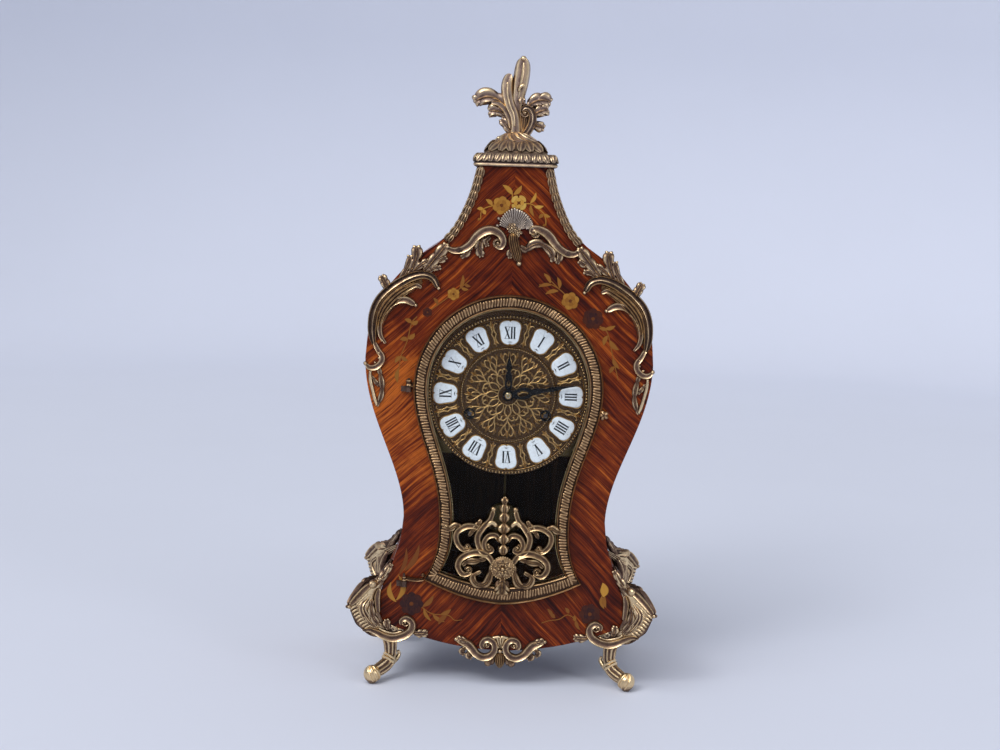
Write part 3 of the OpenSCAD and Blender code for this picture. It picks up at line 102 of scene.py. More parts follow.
@dataclass(frozen=True)
class Plan:
    """The clock's main sizes; heights and levels come from the frame."""

    shoulder_w: float = 260.0
    waist_w: float = 184.0
    base_w: float = 230.0
    neck_w: float = 68.0
    waist_h: float = 96.0
    shoulder_h: float = 146.0
    base_curve_h: float = 81.0
    apron_drop: float = 27.0
    side_t: float = 6.0
    door_r: float = 86.0
    door_waist_w: float = 119.0
    door_corner_w: float = 145.0
    door_waist_rise: float = 89.0
    door_corner_rise: float = 39.0
    door_bow: float = 21.0
    fret_rise: float = 16.0
    plaque_ring: float = 57.0
    front: float = low("front_board", Axis.Y)
    board_back: float = high("front_board", Axis.Y)
    back: float = high("back_board", Axis.Y)
    corner_z: float = low("base_board", Axis.Z)
    neck_z: float = low("cap_moulding", Axis.Z)
    cap_z: float = low("finial", Axis.Z)
    door_top: float = high("door_bezel", Axis.Z)
    frame_back: float = high("glass_retainer", Axis.Y)
    frame_front: float = low("door_bezel", Axis.Y)
    glass_front: float = low("door_glass", Axis.Y)
    dial_z: float = (low("hand_nut", Axis.Z) + high("hand_nut", Axis.Z)) / 2

    @property
    def waist_z(self) -> float:
        """Height of the waist."""
        return self.corner_z + self.waist_h

    @property
    def shoulder_z(self) -> float:
        """Height of the widest point."""
        return self.waist_z + self.shoulder_h

    @property
    def door_z(self) -> float:
        """Height of the centre of the door's round part."""
        return self.door_top - self.door_r

    @property
    def fret_z(self) -> float:
        """Height of the middle of the fret's boss."""
        return self.corner_z + self.door_corner_rise + self.fret_rise


PLAN = Plan()

SHOULDER_CURVE = ((0, 0), (0.155, 0.03), (0.3, 0.12), (0.43, 0.29), (0.53, 0.48), (0.61, 0.68), (0.7, 0.81),
    (0.85, 0.93), (1, 1))
BASE_CURVE = ((0, 0), (0.26, 0.11), (0.46, 0.32), (0.67, 0.55), (0.83, 0.8), (1, 1))


def smooth(rows: Rows | Array, steps: int) -> Array:
    """A Catmull-Rom curve through rows of any width.

    Args:
        rows: The points, each a row of numbers.
        steps: Points made between two neighbours.

    Returns:
        The curve's points, one row each.
    """
    p = np.asarray(rows, float)
    ends = np.vstack([2 * p[0] - p[1], p, 2 * p[-1] - p[-2]])
    t = (np.arange(steps) / steps)[None, :, None]
    a, b, c, d = (q[:, None, :] for q in (ends[:-3], ends[1:-2], ends[2:-1], ends[3:]))
    curve = 0.5 * (2 * b + (c - a) * t + (2 * a - 5 * b + 4 * c - d) * t**2
                   + (3 * b - a - 3 * c + d) * t**3)
    return np.vstack([curve.reshape(-1, p.shape[1]), p[-1]])


def travel(line: Array) -> Array:
    """Distance run along a line at each of its points."""
    return np.concatenate([[0], np.cumsum(np.linalg.norm(np.diff(line, axis=0), axis=1))])


def unit(rows: Array) -> Array:
    """Rows brought to a length of 1."""
    return rows / np.maximum(np.linalg.norm(rows, axis=1, keepdims=True), 1e-9)


def beside(along: Array) -> Array:
    """Directions square to those of a flat line, on its right."""
    return np.stack([along[:, 1], -along[:, 0]], 1)


def at_depth(line: Array, y: float) -> Array:
    """A line of x and z as points at a depth y."""
    return np.stack([line[:, 0], np.full(len(line), y), line[:, 1]], 1)


def spaced(points: Array, count: int, closed: bool = False, gathered: bool = False) -> Array:
    """Points at equal steps along a line.

    Args:
        points: The line's points.
        count: How many points to return.
        closed: Whether the line returns to its start.
        gathered: Whether the points crowd towards both ends.

    Returns:
        The points, evenly spaced unless they are gathered.
    """
    line = np.vstack([points, points[:1]]) if closed else points
    run = travel(line[:, :2])
    at = np.linspace(0, 1, count, endpoint=not closed)
    at = run[-1] * ((1 - np.cos(np.pi * at)) / 2 if gathered else at)
    return np.stack([np.interp(at, run, line[:, k]) for k in range(line.shape[1])], 1)


def ease(a: float, b: float, t: Array) -> Array:
    """A slow start and end between a and b."""
    return a + (b - a) * (1 - np.cos(np.pi * t)) / 2


def case_half(steps: int = 8) -> Array:
    """Right edge of the case from its lower corner to its neck.

    Args:
        steps: Points between two rows of a curve's table.

    Returns:
        Rows of x and z.
    """
    p = PLAN
    base = smooth(BASE_CURVE, steps)[::-1]
    lower = np.stack([(p.waist_w + (p.base_w - p.waist_w) * base[:, 1]) / 2,
                      p.waist_z - base[:, 0] * p.base_curve_h], 1)
    t = np.linspace(0, 1, 8 * steps)[1:]
    body = np.stack([ease(p.waist_w, p.shoulder_w, t**0.93) / 2, p.waist_z + t * p.shoulder_h], 1)
    top = smooth(SHOULDER_CURVE, steps)[1:]
    upper = np.stack([(p.shoulder_w + (p.neck_w - p.shoulder_w) * top[:, 1]) / 2,
                      p.shoulder_z + top[:, 0] * (p.neck_z - p.shoulder_z)], 1)
    return np.vstack([[p.base_w / 2, p.corner_z], lower, body, upper])


EDGE = case_half()


def case_x(z: Array | float) -> Array:
    """Half width of the case at height z."""
    return np.interp(z, EDGE[:, 1], EDGE[:, 0])


def apron_half(steps: int = 40) -> Array:
    """Right half of the front board's lower edge, from the middle outwards."""
    t = np.linspace(0, 1, steps)[:-1]
    return np.stack([t * PLAN.base_w / 2, PLAN.corner_z - PLAN.apron_drop * (1 - t * t)], 1)


def door_half(inset: float, fine: int = 4) -> Array:
    """Right half of the door's outline from its lowest to its highest point.

    Args:
        inset: How far the outline is drawn in from the door's outer edge.
        fine: Multiplier on the number of points.

    Returns:
        Rows of x and z.
    """
    r = PLAN.door_r - inset
    waist = PLAN.door_waist_w / 2 - 0.96 * inset
    corner = PLAN.door_corner_w / 2 - 1.2 * inset
    corner_z = PLAN.corner_z + PLAN.door_corner_rise + 0.6 * inset
    bottom = PLAN.corner_z + PLAN.door_corner_rise - PLAN.door_bow + 1.3 * inset
    waist_z = PLAN.corner_z + PLAN.door_waist_rise
    t = np.linspace(0, 1, 8 * fine, endpoint=False)
    low_edge = np.stack([t * corner, bottom + (corner_z - bottom) * t**1.8], 1)
    flank = np.stack([corner + (waist - corner) * (1 - (1 - t)**2.4),
                      corner_z + (waist_z - corner_z) * t], 1)
    t = np.linspace(0, 1, 14 * fine, endpoint=False)
    flare = np.stack([ease(waist, r, t**1.15), waist_z + (PLAN.door_z - waist_z) * t], 1)
    a = np.radians(np.linspace(0, 90, 15 * fine))
    arch = np.stack([r * np.cos(a), PLAN.door_z + r * np.sin(a)], 1)
    return np.vstack([low_edge, flank, flare, arch])


def ring_of(half: Array) -> Array:
    """A closed outline from its right half, which starts and ends on the middle line."""
    return np.vstack([half, half[-2:0:-1] * (-1, 1)])


def shifted(loop: Array, inward: float) -> Array:
    """A closed outline drawn in by a distance."""
    return loop - inward * beside(unit(np.roll(loop, -1, 0) - np.roll(loop, 1, 0)))


def matched(path: Array, anchors: Rows, counts: Sequence[int]) -> Array:
    """Samples a path so that each anchor keeps a fixed place in the list.

    Args:
        path: The path's points.
        anchors: Points on it, from its start to its end.
        counts: Steps between neighbouring anchors.

    Returns:
        The new points.
    """
    marks = [int(np.argmin(np.linalg.norm(path - np.array(a), axis=1))) for a in anchors]
    parts = [spaced(path[i:j + 1], n + 1)[:-1] for i, j, n in zip(marks, marks[1:], counts)]
    return np.vstack([*parts, path[marks[-1]][None]])


def on_front(level: float) -> Place:
    """Places (x, z, height) on a flat face at a level that looks towards -Y."""
    return lambda u, v, h: np.stack([u, level - h, v], -1)


def linked(name: str, data: bpy.types.ID) -> Object:
    """Links a new object into the scene.

    Args:
        name: Its name.
        data: Its data.

    Returns:
        The object.
    """
    made = bpy.data.objects.new(name, data)
    bpy.context.scene.collection.objects.link(made)
    return made


def mesh_of(name: str, points: Array, kind: str, **layers: Array) -> bpy.types.Mesh:
    """A mesh of points without faces.

    Args:
        name: The mesh's name.
        points: The points, in millimetres.
        kind: Type of its layers, FLOAT or FLOAT_VECTOR.
        **layers: Values of each layer, one row per point.

    Returns:
        The mesh, in metres.
    """
    mesh = bpy.data.meshes.new(name)
    mesh.vertices.add(len(points))
    mesh.vertices.foreach_set("co", (points * MM).astype(np.float32).ravel())
    field_name = "value" if kind == "FLOAT" else "vector"
    for key, values in layers.items():
        layer = mesh.attributes.new(key, kind, "POINT")
        layer.data.foreach_set(field_name, values.astype(np.float32).ravel())
    return mesh


def finished(mesh: bpy.types.Mesh, name: str, finish: "Finish", sharp: float) -> Object:
    """Turns a mesh outwards, shades it and makes it an object.

    Args:
        mesh: The mesh, with its place in it.
        name: The object's name.
        finish: What it is dressed in.
        sharp: Edges sharper than this many degrees stay crisp.

    Returns:
        The linked object.
    """
    work = bmesh.new()
    work.from_mesh(mesh)
    bmesh.ops.remove_doubles(work, verts=work.verts, dist=1e-6)
    bmesh.ops.recalc_face_normals(work, faces=work.faces)
    work.to_mesh(mesh)
    work.free()
    mesh.shade_smooth()
    mesh.set_sharp_from_angle(angle=math.radians(sharp))
    mesh.materials.clear()
    mesh.materials.append(finish.material())
    LOG.info("%s: %d faces", name, len(mesh.polygons))
    return linked(name, mesh)


def settle(piece: Object, *nodes: str, slot: Slot = Slot.BRONZE, body: Body = Body.CASE) -> None:
    """Hangs a new piece on its body and hides the frame nodes that it stands for.

    Args:
        piece: The piece.
        *nodes: Frame nodes that it stands for.
        slot: Its material slot; not used.
        body: What it rides on.
    """
    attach(piece, body.value)
    if nodes:
        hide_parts(*nodes)


class Shell:
    """Points, faces and relief shades of one piece, gathered part by part, in millimetres."""

    def __init__(self) -> None:
        """Starts an empty shell."""
        self.points: list[Array] = []
        self.shades: list[Array] = []
        self.tones: list[Array] = []
        self.tone = 0.5
        self.faces: list[Array] = []
        self.caps: list[list[int]] = []
        self.count = 0

    def grid(self, points: Array, shade: Array | float, around: bool = False,
             along: bool = False, capped: bool = False) -> None:
        """Adds a surface through a grid of points.

        Args:
            points: Array (rows, columns, 3).
            shade: Relief of each point, from 0 in a hollow to 1 on a crest, which the cast finishes paint as
                shade in the hollows and as highlight and wear on the crests.
            around: Whether the columns close into a ring.
            along: Whether the rows close into a ring.
            capped: Whether the first and last ring are closed with a face.
        """
        n, m = points.shape[:2]
        index = self.count + np.arange(n * m).reshape(n, m)
        rows = np.vstack([index, index[:1]]) if along else index
        rows = np.hstack([rows, rows[:, :1]]) if around else rows
        quads = np.stack([rows[:-1, :-1], rows[:-1, 1:], rows[1:, 1:], rows[1:, :-1]], -1)
        self.points.append(points.reshape(-1, 3))
        self.shades.append(np.broadcast_to(shade, (n, m)).reshape(-1))
        self.tones.append(np.full(n * m, self.tone))
        self.faces.append(quads.reshape(-1, 4))
        if capped:
            self.caps += [list(index[0][::-1]), list(index[-1])]
        self.count += n * m

    def body(self, sections: Sequence[Section], ring: bool) -> None:
        """Adds a body through closed outlines, each with its level and its shade.

        Args:
            sections: The outlines, from the back to the front.
            ring: Whether the last joins the first, as in a frame; a plate has two faces instead.
        """
        points = np.stack([at_depth(loop, y) for loop, y, _ in sections], int(ring))
        shades = np.array([shade for *_, shade in sections])
        self.grid(points, shades if ring else shades[:, None], around=True, along=ring, capped=not ring)

    def limb(self, path: Array, normal: Array, width: Array, thick: Array,
             flutes: int = 0, depth: float = 0.18, sides: int = 24) -> None:
        """Adds a round or fluted limb along a line in space.

        Args:
            path: Points of the line.
            normal: Direction that the thickness is measured in, one row or one per point.
            width: Half width at each point.
            thick: Half thickness at each point.
            flutes: Number of grooves round the limb.
            depth: Depth of the grooves as a share of the width.
            sides: Points round the limb.
        """
        along = unit(np.gradient(path, axis=0))
        side = unit(np.cross(np.broadcast_to(normal, path.shape), along))
        up = np.cross(along, side)
        a = np.linspace(0, 2 * np.pi, sides, endpoint=False)
        wave = 0.5 + 0.5 * np.cos(flutes * a) if flutes else np.ones_like(a)
        swell = (1 - depth * (1 - wave))[None, :, None]
        ring = (side[:, None, :] * np.outer(width, np.cos(a))[..., None]
                + up[:, None, :] * np.outer(thick, np.sin(a))[..., None]) * swell
        # Painted shade: the relief drops in the flutes' grooves.
        shade = np.broadcast_to(0.25 + 0.65 * wave, ring.shape[:2])
        self.grid(path[:, None, :] + ring, shade, around=True, capped=True)

    def lathe(self, profile: Rows, centre: Row, axis: Axis, shade: Sequence[float] | float,
              sides: int = 32, lobes: int = 0, depth: float = 0.0) -> None:
        """Adds a turned form.

        Args:
            profile: Rows of (distance along the axis, radius), from one end to the other.
            centre: Where the axis starts.
            axis: The axis; a turned form on Y grows towards the front.
            shade: Relief of each profile row, painted as shade where it is low and as highlight where it is
                high.
            sides: Points round the form.
            lobes: Number of lobes round the form.
            depth: Depth of the lobes as a share of the radius.
        """
        p = np.asarray(profile, float)
        a = np.linspace(0, 2 * np.pi, sides, endpoint=False)
        wave = np.abs(np.sin(lobes * a / 2)) if lobes else np.ones_like(a)
        r = p[:, 1:2] * (1 - depth * (1 - wave))[None, :]
        h = np.broadcast_to(p[:, :1], r.shape)
        c, s = r * np.cos(a), r * np.sin(a)
        turned = {Axis.Y: (c, -h, s), Axis.Z: (s, c, h)}[axis]
        # Painted shade: the relief drops in the grooves between the lobes.
        tone = np.broadcast_to(np.asarray(shade, float).reshape(-1, 1), r.shape) * (0.35 + 0.65 * wave)
        self.grid(np.stack(turned, -1) + np.asarray(centre, float), tone, around=True, capped=True)

    def mirror(self, by: Row = (-1, 1, 1)) -> "Shell":
        """Adds the mirror image across the middle plane, or another.

        Args:
            by: Factors of x, y and z, one of them -1.

        Returns:
            The shell.
        """
        size, points = self.count, np.vstack(self.points) * by
        self.points.append(points)
        self.shades.append(np.concatenate(self.shades))
        self.tones.append(np.concatenate(self.tones))
        self.faces.append(np.vstack(self.faces)[:, ::-1] + size)
        self.caps += [[i + size for i in reversed(c)] for c in self.caps]
        self.count += size
        return self

    def piece(self, name: str, finish: "Finish", sharp: float = 50.0) -> Object:
        """Makes the shell one mesh object.

        Args:
            name: The piece's name.
            finish: What it is dressed in.
            sharp: Edges sharper than this many degrees stay crisp.

        Returns:
            The object, at the origin.
        """
        quads = np.vstack(self.faces)
        loops = np.concatenate([quads.reshape(-1)] + [np.array(c) for c in self.caps])
        sizes = np.array([4] * len(quads) + [len(c) for c in self.caps])
        mesh = mesh_of(name, np.vstack(self.points), "FLOAT", relief=np.concatenate(self.shades),
                       tone=np.concatenate(self.tones))
        mesh.loops.add(len(loops))
        mesh.loops.foreach_set("vertex_index", loops.astype(np.int32))
        mesh.polygons.add(len(sizes))
        mesh.polygons.foreach_set("loop_start", (np.cumsum(sizes) - sizes).astype(np.int32))
        mesh.polygons.foreach_set("loop_total", sizes.astype(np.int32))
        mesh.update(calc_edges=True)
        mesh.validate()
        return finished(mesh, name, finish, sharp)


@dataclass(frozen=True)
class Form:
    """How a strip is shaped along its length."""

    thick: float = 0.8
    wide: float = 1.0
    steps: int = 6
    lobes: float = 0.0
    notch: float = 0.45
    rake: float = 0.0
    sink: float = 0.4
    rounded: bool = True


@dataclass(frozen=True)
class Cut:
    """A strip's cross-section, from one edge to the other; its shade row is painted shade in the grooves and
    painted highlight on the ridges of cast work.
    """

    across: Row
    height: Row
    shade: Row


CHANNEL_CUT = Cut((-1, -0.9, -0.72, -0.5, -0.25, 0, 0.25, 0.5, 0.72, 0.9, 1),
                  (0, 0.62, 1, 0.84, 0.58, 0.5, 0.58, 0.84, 1, 0.62, 0),
                  (0.1, 0.5, 0.84, 0.62, 0.44, 0.36, 0.44, 0.62, 0.84, 0.5, 0.1))
LEAF_CUT = Cut((-1, -0.85, -0.6, -0.38, -0.18, 0, 0.18, 0.38, 0.6, 0.85, 1),
               (0.12, 0.62, 0.85, 0.72, 0.66, 1, 0.66, 0.72, 0.85, 0.62, 0.12),
               (0.35, 0.7, 0.8, 0.45, 0.3, 0.85, 0.3, 0.45, 0.8, 0.7, 0.35))
FLAT_CUT = Cut((-1, -0.8, 0, 0.8, 1), (0, 0, 0, 0, 0), (0.25, 0.9, 1, 0.9, 0.25))
FLUTED_CUT = Cut((-1, -0.9, -0.72, -0.55, -0.36, -0.18, 0, 0.18, 0.36, 0.55, 0.72, 0.9, 1),
                 (0, 0.4, 0.68, 0.52, 0.88, 0.7, 1, 0.7, 0.88, 0.52, 0.68, 0.4, 0),
                 (0.1, 0.45, 0.8, 0.3, 0.85, 0.35, 0.9, 0.35, 0.85, 0.3, 0.8, 0.45, 0.1))
BAND_CUT = Cut((-1, -0.92, -0.8, -0.64, -0.45, -0.25, -0.08, 0.08, 0.28, 0.5, 0.7, 0.84, 0.93, 1),
               (0, 0.7, 1, 0.72, 0.38, 0.42, 0.8, 0.72, 0.3, 0.24, 0.5, 0.85, 0.6, 0),
               (0.1, 0.6, 0.85, 0.5, 0.25, 0.3, 0.75, 0.55, 0.25, 0.2, 0.4, 0.85, 0.5, 0.1))
RIDGE_CUT = Cut((-1, -0.8, -0.45, 0, 0.45, 0.8, 1), (0, 0.5, 0.87, 1, 0.87, 0.5, 0),
                (0.1, 0.45, 0.85, 1, 0.85, 0.45, 0.1))


class Style(Enum):
    """Kinds of cast strip, each with its cross-section and form."""

    SCROLL = (CHANNEL_CUT, {"thick": 0.8, "wide": 1.18})
    LEAF = (LEAF_CUT, {"thick": 0.62, "wide": 1.4, "lobes": 4.0, "notch": 0.4, "rake": 0.75, "steps": 10})
    SMALL_LEAF = (LEAF_CUT, {"thick": 0.62, "wide": 1.35, "lobes": 3.0, "notch": 0.35, "rake": 0.65,
                             "steps": 10})
    PLUME = (FLUTED_CUT, {"thick": 0.95, "wide": 1.1, "steps": 8})
    STEM = (RIDGE_CUT, {"thick": 0.9})
    BAND = (BAND_CUT, {"thick": 0.75, "steps": 8})
    SHEET = (RIDGE_CUT, {"thick": 0.16})
    HUSK = (LEAF_CUT, {"thick": 1.0, "lobes": 1.0, "notch": 0.0, "steps": 10})


Strokes = Sequence[tuple[Style, Rows]]
SCROLL, LEAF, SMALL_LEAF, PLUME, STEM, BAND, SHEET, HUSK = Style


class Relief(Shell):
    """A shell of ornaments that lie on one surface."""

    thinnest = 0.05
    groove_depth = 0.55
    groove_shade = 0.85
    undercut = (0.85, -0.85)
    volute_turns = 1.4
    petal = ((0.12, 0.1, 0.5), (0.45, 0.24, 0.9), (0.8, 0.34, 1.0), (1.0, 0.14, 0.6))

    def __init__(self, place: Place) -> None:
        """Starts on a surface, given as a function that turns (u, v, height) into points."""
        super().__init__()
        self.place = place

    def strip(self, rows: Rows | Array, cut: Cut, **shape: float) -> None:
        """Adds a strip along a line.

        Args:
            rows: Centre points as (u, v, half width, lift), lift optional.
            cut: The strip's cross-section.
            **shape: Values of Form.
        """
        form = Form(**shape)
        path = smooth([(*row, 0.0)[:4] for row in rows], form.steps)
        if form.lobes:
            path = spaced(path, int(form.lobes * 9) + 1)
        if form.rounded:
            path = spaced(path, max(len(path), 18), gathered=True)
        middle, width = path[:, :2], form.wide * path[:, 2]
        if form.rounded:
            run = travel(middle)
            for gap in (run, run[-1] - run):
                near = np.clip(gap / np.maximum(width, self.thinnest), 0, 1)
                width = width * np.sqrt(near * (2 - near))
        width = np.maximum(width, self.thinnest)
        along = unit(np.gradient(middle, axis=0))
        side = beside(along)
        t, s = np.linspace(0, 1, len(path)), np.array(cut.across)
        lobe = np.abs(np.sin(np.pi * form.lobes * t)) ** 0.6 if form.lobes else np.ones_like(t)
        reach = width * (1 - form.notch * (1 - lobe))
        groove = np.outer(1 - lobe, np.abs(s))
        height = np.outer(form.thick * width, cut.height) * (1 - self.groove_depth * groove) + path[:, 3:]
        # Painted shade: the relief falls in the grooves between lobes and to 0 along the strip's undercut
        # foot.
        shade = np.array(cut.shade) * (1 - self.groove_shade * groove)
        flat = (middle[:, None] + side[:, None] * np.outer(reach, s)[..., None]
                + along[:, None] * np.outer(form.rake * width, np.abs(s) ** 1.5)[..., None])
        edge = middle[:, None] + side[:, None] * np.outer(reach, self.undercut)[..., None]
        under = np.full((len(path), 2), -form.sink)
        flat = np.concatenate([flat, edge], 1)
        height = np.concatenate([height, under], 1)
        shade = np.concatenate([shade, np.zeros_like(under)], 1)
        self.grid(self.place(flat[..., 0], flat[..., 1], height), shade, around=True, capped=True)

    def lay(self, style: Style, rows: Rows, dx: float = 0.0, dz: float = 0.0, **changes: float) -> None:
        """Adds a strip of a style, moved by (dx, dz) on the surface."""
        cut, form = style.value
        self.strip([(r[0] + dx, r[1] + dz, *r[2:]) for r in rows], cut, **{**form, **changes})

    def draw(self, strokes: Strokes, dx: float = 0.0, dz: float = 0.0, **changes: float) -> None:
        """Adds a table of strips, moved by (dx, dz) on the surface."""
        for style, rows in strokes:
            self.lay(style, rows, dx, dz, **changes)

    def fan(self, centre: Row, spans: tuple[float, float], radius: Callable[[float], float],
            ribs: int, inner: float = 1.5, height: float = 3.0, lift: float = 1.0) -> None:
        """Adds a shell: ribs that spread from a point, each a tapering ridge.

        Args:
            centre: Root of the shell as (u, v).
            spans: First and last direction in degrees, counted from straight up.
            radius: Length of a rib by its share of the span from 0 to 1.
            ribs: How many ribs.
            inner: Distance of the ribs' roots from the centre.
            height: Height of the ribs at their tips.
            lift: Height of the ribs' ground.
        """
        step = math.radians(spans[1] - spans[0]) / (ribs - 1)
        for k in range(ribs):
            a = math.radians(spans[0]) + k * step
            reach = radius(k / (ribs - 1))
            rows = []
            for t, narrow, flat in ((0.0, 1, 1), (0.35, 1, 1), (0.7, 1, 1), (0.92, 1, 1), (1.0, 0.6, 0.55)):
                r = inner + (reach - inner) * t
                rows.append((centre[0] + r * math.sin(a), centre[1] + r * math.cos(a),
                             max(0.35, 0.54 * abs(step) * r) * narrow,
                             lift + height * (0.35 + 0.65 * t) * flat * 0.4))
            self.strip(rows, RIDGE_CUT, thick=0.8, steps=3, sink=0.6)

    def pearl(self, u: float, v: float, r: float, height: float = 0.8, lift: float = 0.0,
              sides: int = 14) -> None:
        """Adds a domed bead.

        Args:
            u: First coordinate on the surface.
            v: Second coordinate on the surface.
            r: Radius.
            height: Height as a share of the radius.
            lift: Height of its foot.
            sides: Points round the bead.
        """
        a = np.linspace(0, 2 * np.pi, sides, endpoint=False)
        b = np.radians((0, 25, 50, 72, 86))[:, None]
        ring = np.vstack([np.full((1, 1), r), r * np.cos(b)])
        rise = np.vstack([np.full((1, 1), lift - 0.4), lift + height * r * np.sin(b)])
        points = self.place(u + ring * np.cos(a), v + ring * np.sin(a), rise * np.ones_like(a))
        # Painted shade and highlight: the bead's relief runs from dark at its foot to light on its crown.
        self.grid(points, np.array((0, 0.15, 0.45, 0.65, 0.75, 0.8))[:, None], around=True, capped=True)

    def volute(self, u: float, v: float, r: float, start: float = 0.0, hand: int = 1,
               lift: float = 0.6) -> None:
        """Adds a spiral end with a bead in its eye.

        Args:
            u: First coordinate of its eye.
            v: Second coordinate of its eye.
            r: Outer radius.
            start: Direction of the outer end in degrees.
            hand: 1 to wind one way, -1 the other.
            lift: Height of its foot.
        """
        t = np.linspace(0, 1, 14)
        a = math.radians(start) + hand * 2 * np.pi * self.volute_turns * t
        d = r * (1 - 0.78 * t)
        rows = np.stack([u + d * np.cos(a), v + d * np.sin(a), 0.26 * r * (1 - 0.45 * t),
                         lift + 0.3 * r * t], 1)
        self.strip(rows, CHANNEL_CUT, thick=1.0, steps=3)
        self.pearl(u, v, 0.3 * r, 1.0, lift + 0.3 * r)

    def rosette(self, u: float, v: float, r: float, petals: int, lift: float) -> None:
        """Adds a round flower of two rings of petals.

        Args:
            u: First coordinate of its middle.
            v: Second coordinate of its middle.
            r: Outer radius.
            petals: Petals in a ring.
            lift: Height of its foot.
        """
        for ring, share, turn in ((1.0, 0.0, 0.0), (0.62, 0.35, 0.5)):
            for k in range(petals):
                a = 2 * np.pi * (k + turn) / petals
                rows = [(u + r * ring * d * math.cos(a), v + r * ring * d * math.sin(a), r * ring * w,
                         lift + share * r * h) for d, w, h in self.petal]
                self.strip(rows, CHANNEL_CUT, thick=0.5, steps=3, sink=0.5)
        self.pearl(u, v, 0.24 * r, 1.0, lift + 0.4 * r)


def full(colour: object) -> object:
    """A colour with its fourth value, or a socket as it is."""
    return (*colour, 1) if isinstance(colour, tuple) else colour


class Graph:
    """Lays out and joins the nodes of a tree."""

    def __init__(self, tree: bpy.types.NodeTree) -> None:
        """Starts on an empty tree."""
        self.tree = tree

    def node(self, kind: str, inputs: dict | None = None, **settings: object) -> bpy.types.Node:
        """Adds a node.

        Args:
            kind: The node's type.
            inputs: Values or sockets for its inputs, by name or number.
            **settings: The node's own settings.

        Returns:
            The node.
        """
        made = self.tree.nodes.new(kind)
        for key, value in settings.items():
            setattr(made, key, value)
        for key, value in (inputs or {}).items():
            if isinstance(value, Socket):
                self.tree.links.new(value, made.inputs[key])
            else:
                made.inputs[key].default_value = value
        return made

    def math(self, operation: str, *values: object) -> Socket:
        """The result of one operation on values or sockets."""
        return self.node("ShaderNodeMath", dict(enumerate(values)), operation=operation).outputs[0]

    def plus(self, first: object, second: object) -> Socket:
        """The sum of two values."""
        return self.math("ADD", first, second)

    def times(self, first: object, second: object, plus: object = 0.0) -> Socket:
        """The product of two values, plus a third."""
        return self.math("MULTIPLY_ADD", first, second, plus)

    def sway(self, value: object, noise: object, amount: float) -> Socket:
        """A value moved up and down by a noise."""
        return self.times(self.plus(noise, -0.5), amount, value)

    def span(self, value: object, low_from: float, high_from: float, low_to: float = 0.0,
             high_to: float = 1.0) -> Socket:
        """Maps a value from one span to another, kept inside it."""
        return self.node("ShaderNodeMapRange", {0: value, 1: low_from, 2: high_from, 3: low_to,
                                                4: high_to}).outputs[0]

    def noise(self, at: object, scale: float, detail: float = 3.0, rough: float = 0.55,
              bend: float = 0.0) -> Socket:
        """A noise value at a place."""
        return self.node("ShaderNodeTexNoise", {"Vector": at, "Scale": scale, "Detail": detail,
                                                "Roughness": rough, "Distortion": bend}).outputs[0]

    def cells(self, scale: float) -> Socket:
        """Distance to the nearest of many scattered points."""
        return self.node("ShaderNodeTexVoronoi", {"Vector": self.place, "Scale": scale}).outputs[0]

    def ramp(self, value: object, stops: Sequence[tuple[float, Colour]]) -> Socket:
        """A colour ramp.

        Args:
            value: What drives it.
            stops: Rows of place and colour.

        Returns:
            The colour's socket.
        """
        made = self.node("ShaderNodeValToRGB", {0: value})
        band = made.color_ramp.elements
        while len(band) < len(stops):
            band.new(0.5)
        for element, (place, colour) in zip(band, stops):
            element.position = place
            element.color = (*colour, 1)
        return made.outputs[0]

    def mix(self, share: object, first: object, second: object) -> Socket:
        """A mix of two colours."""
        inputs = {0: share, 6: full(first), 7: full(second)}
        return self.node("ShaderNodeMix", inputs, data_type="RGBA").outputs[2]

    def vector(self, x: object, y: object, z: object) -> Socket:
        """A vector from three values."""
        return self.node("ShaderNodeCombineXYZ", {0: x, 1: y, 2: z}).outputs[0]

    def attribute(self, name: str) -> Socket:
        """The value of a mesh attribute."""
        return self.node("ShaderNodeAttribute", attribute_name=name).outputs["Fac"]

    def bump(self, height: object, strength: float, distance: float) -> Socket:
        """A bumped normal; the distance is in millimetres."""
        return self.node("ShaderNodeBump", {"Height": height, "Strength": strength,
                                            "Distance": distance * MM}).outputs[0]

    def surface(self, **inputs: object) -> Socket:
        """A principled surface; underscores stand for the spaces in its inputs' names."""
        named = {key.replace("_", " "): full(value) for key, value in inputs.items()}
        return self.node("ShaderNodeBsdfPrincipled", named).outputs[0]

    @property
    def place(self) -> Socket:
        """Coordinates in metres that travel with the piece."""
        return self.node("ShaderNodeTexCoord").outputs["Object"]

    def drawn(self, by: Row) -> Socket:
        """The same coordinates, scaled along each direction."""
        return self.node("ShaderNodeVectorMath", {0: self.place, 1: by}, operation="MULTIPLY").outputs[0]


class Finish:
    """A surface finish; its material is made once and shared."""

    made: dict[object, bpy.types.Material] = {}
    label = "finish"

    def material(self) -> bpy.types.Material:
        """The finish's material."""
        if self not in Finish.made:
            material = bpy.data.materials.new(f"{self.label}_{len(Finish.made)}")
            material.use_nodes = True
            material.node_tree.nodes.clear()
            graph = Graph(material.node_tree)
            graph.node("ShaderNodeOutputMaterial", {0: self.paint(graph)})
            Finish.made[self] = material
        return Finish.made[self]

    def paint(self, graph: Graph) -> Socket:
        """Lays out the finish.

        Args:
            graph: The material's nodes.

        Returns:
            The surface's socket.
        """
        raise NotImplementedError


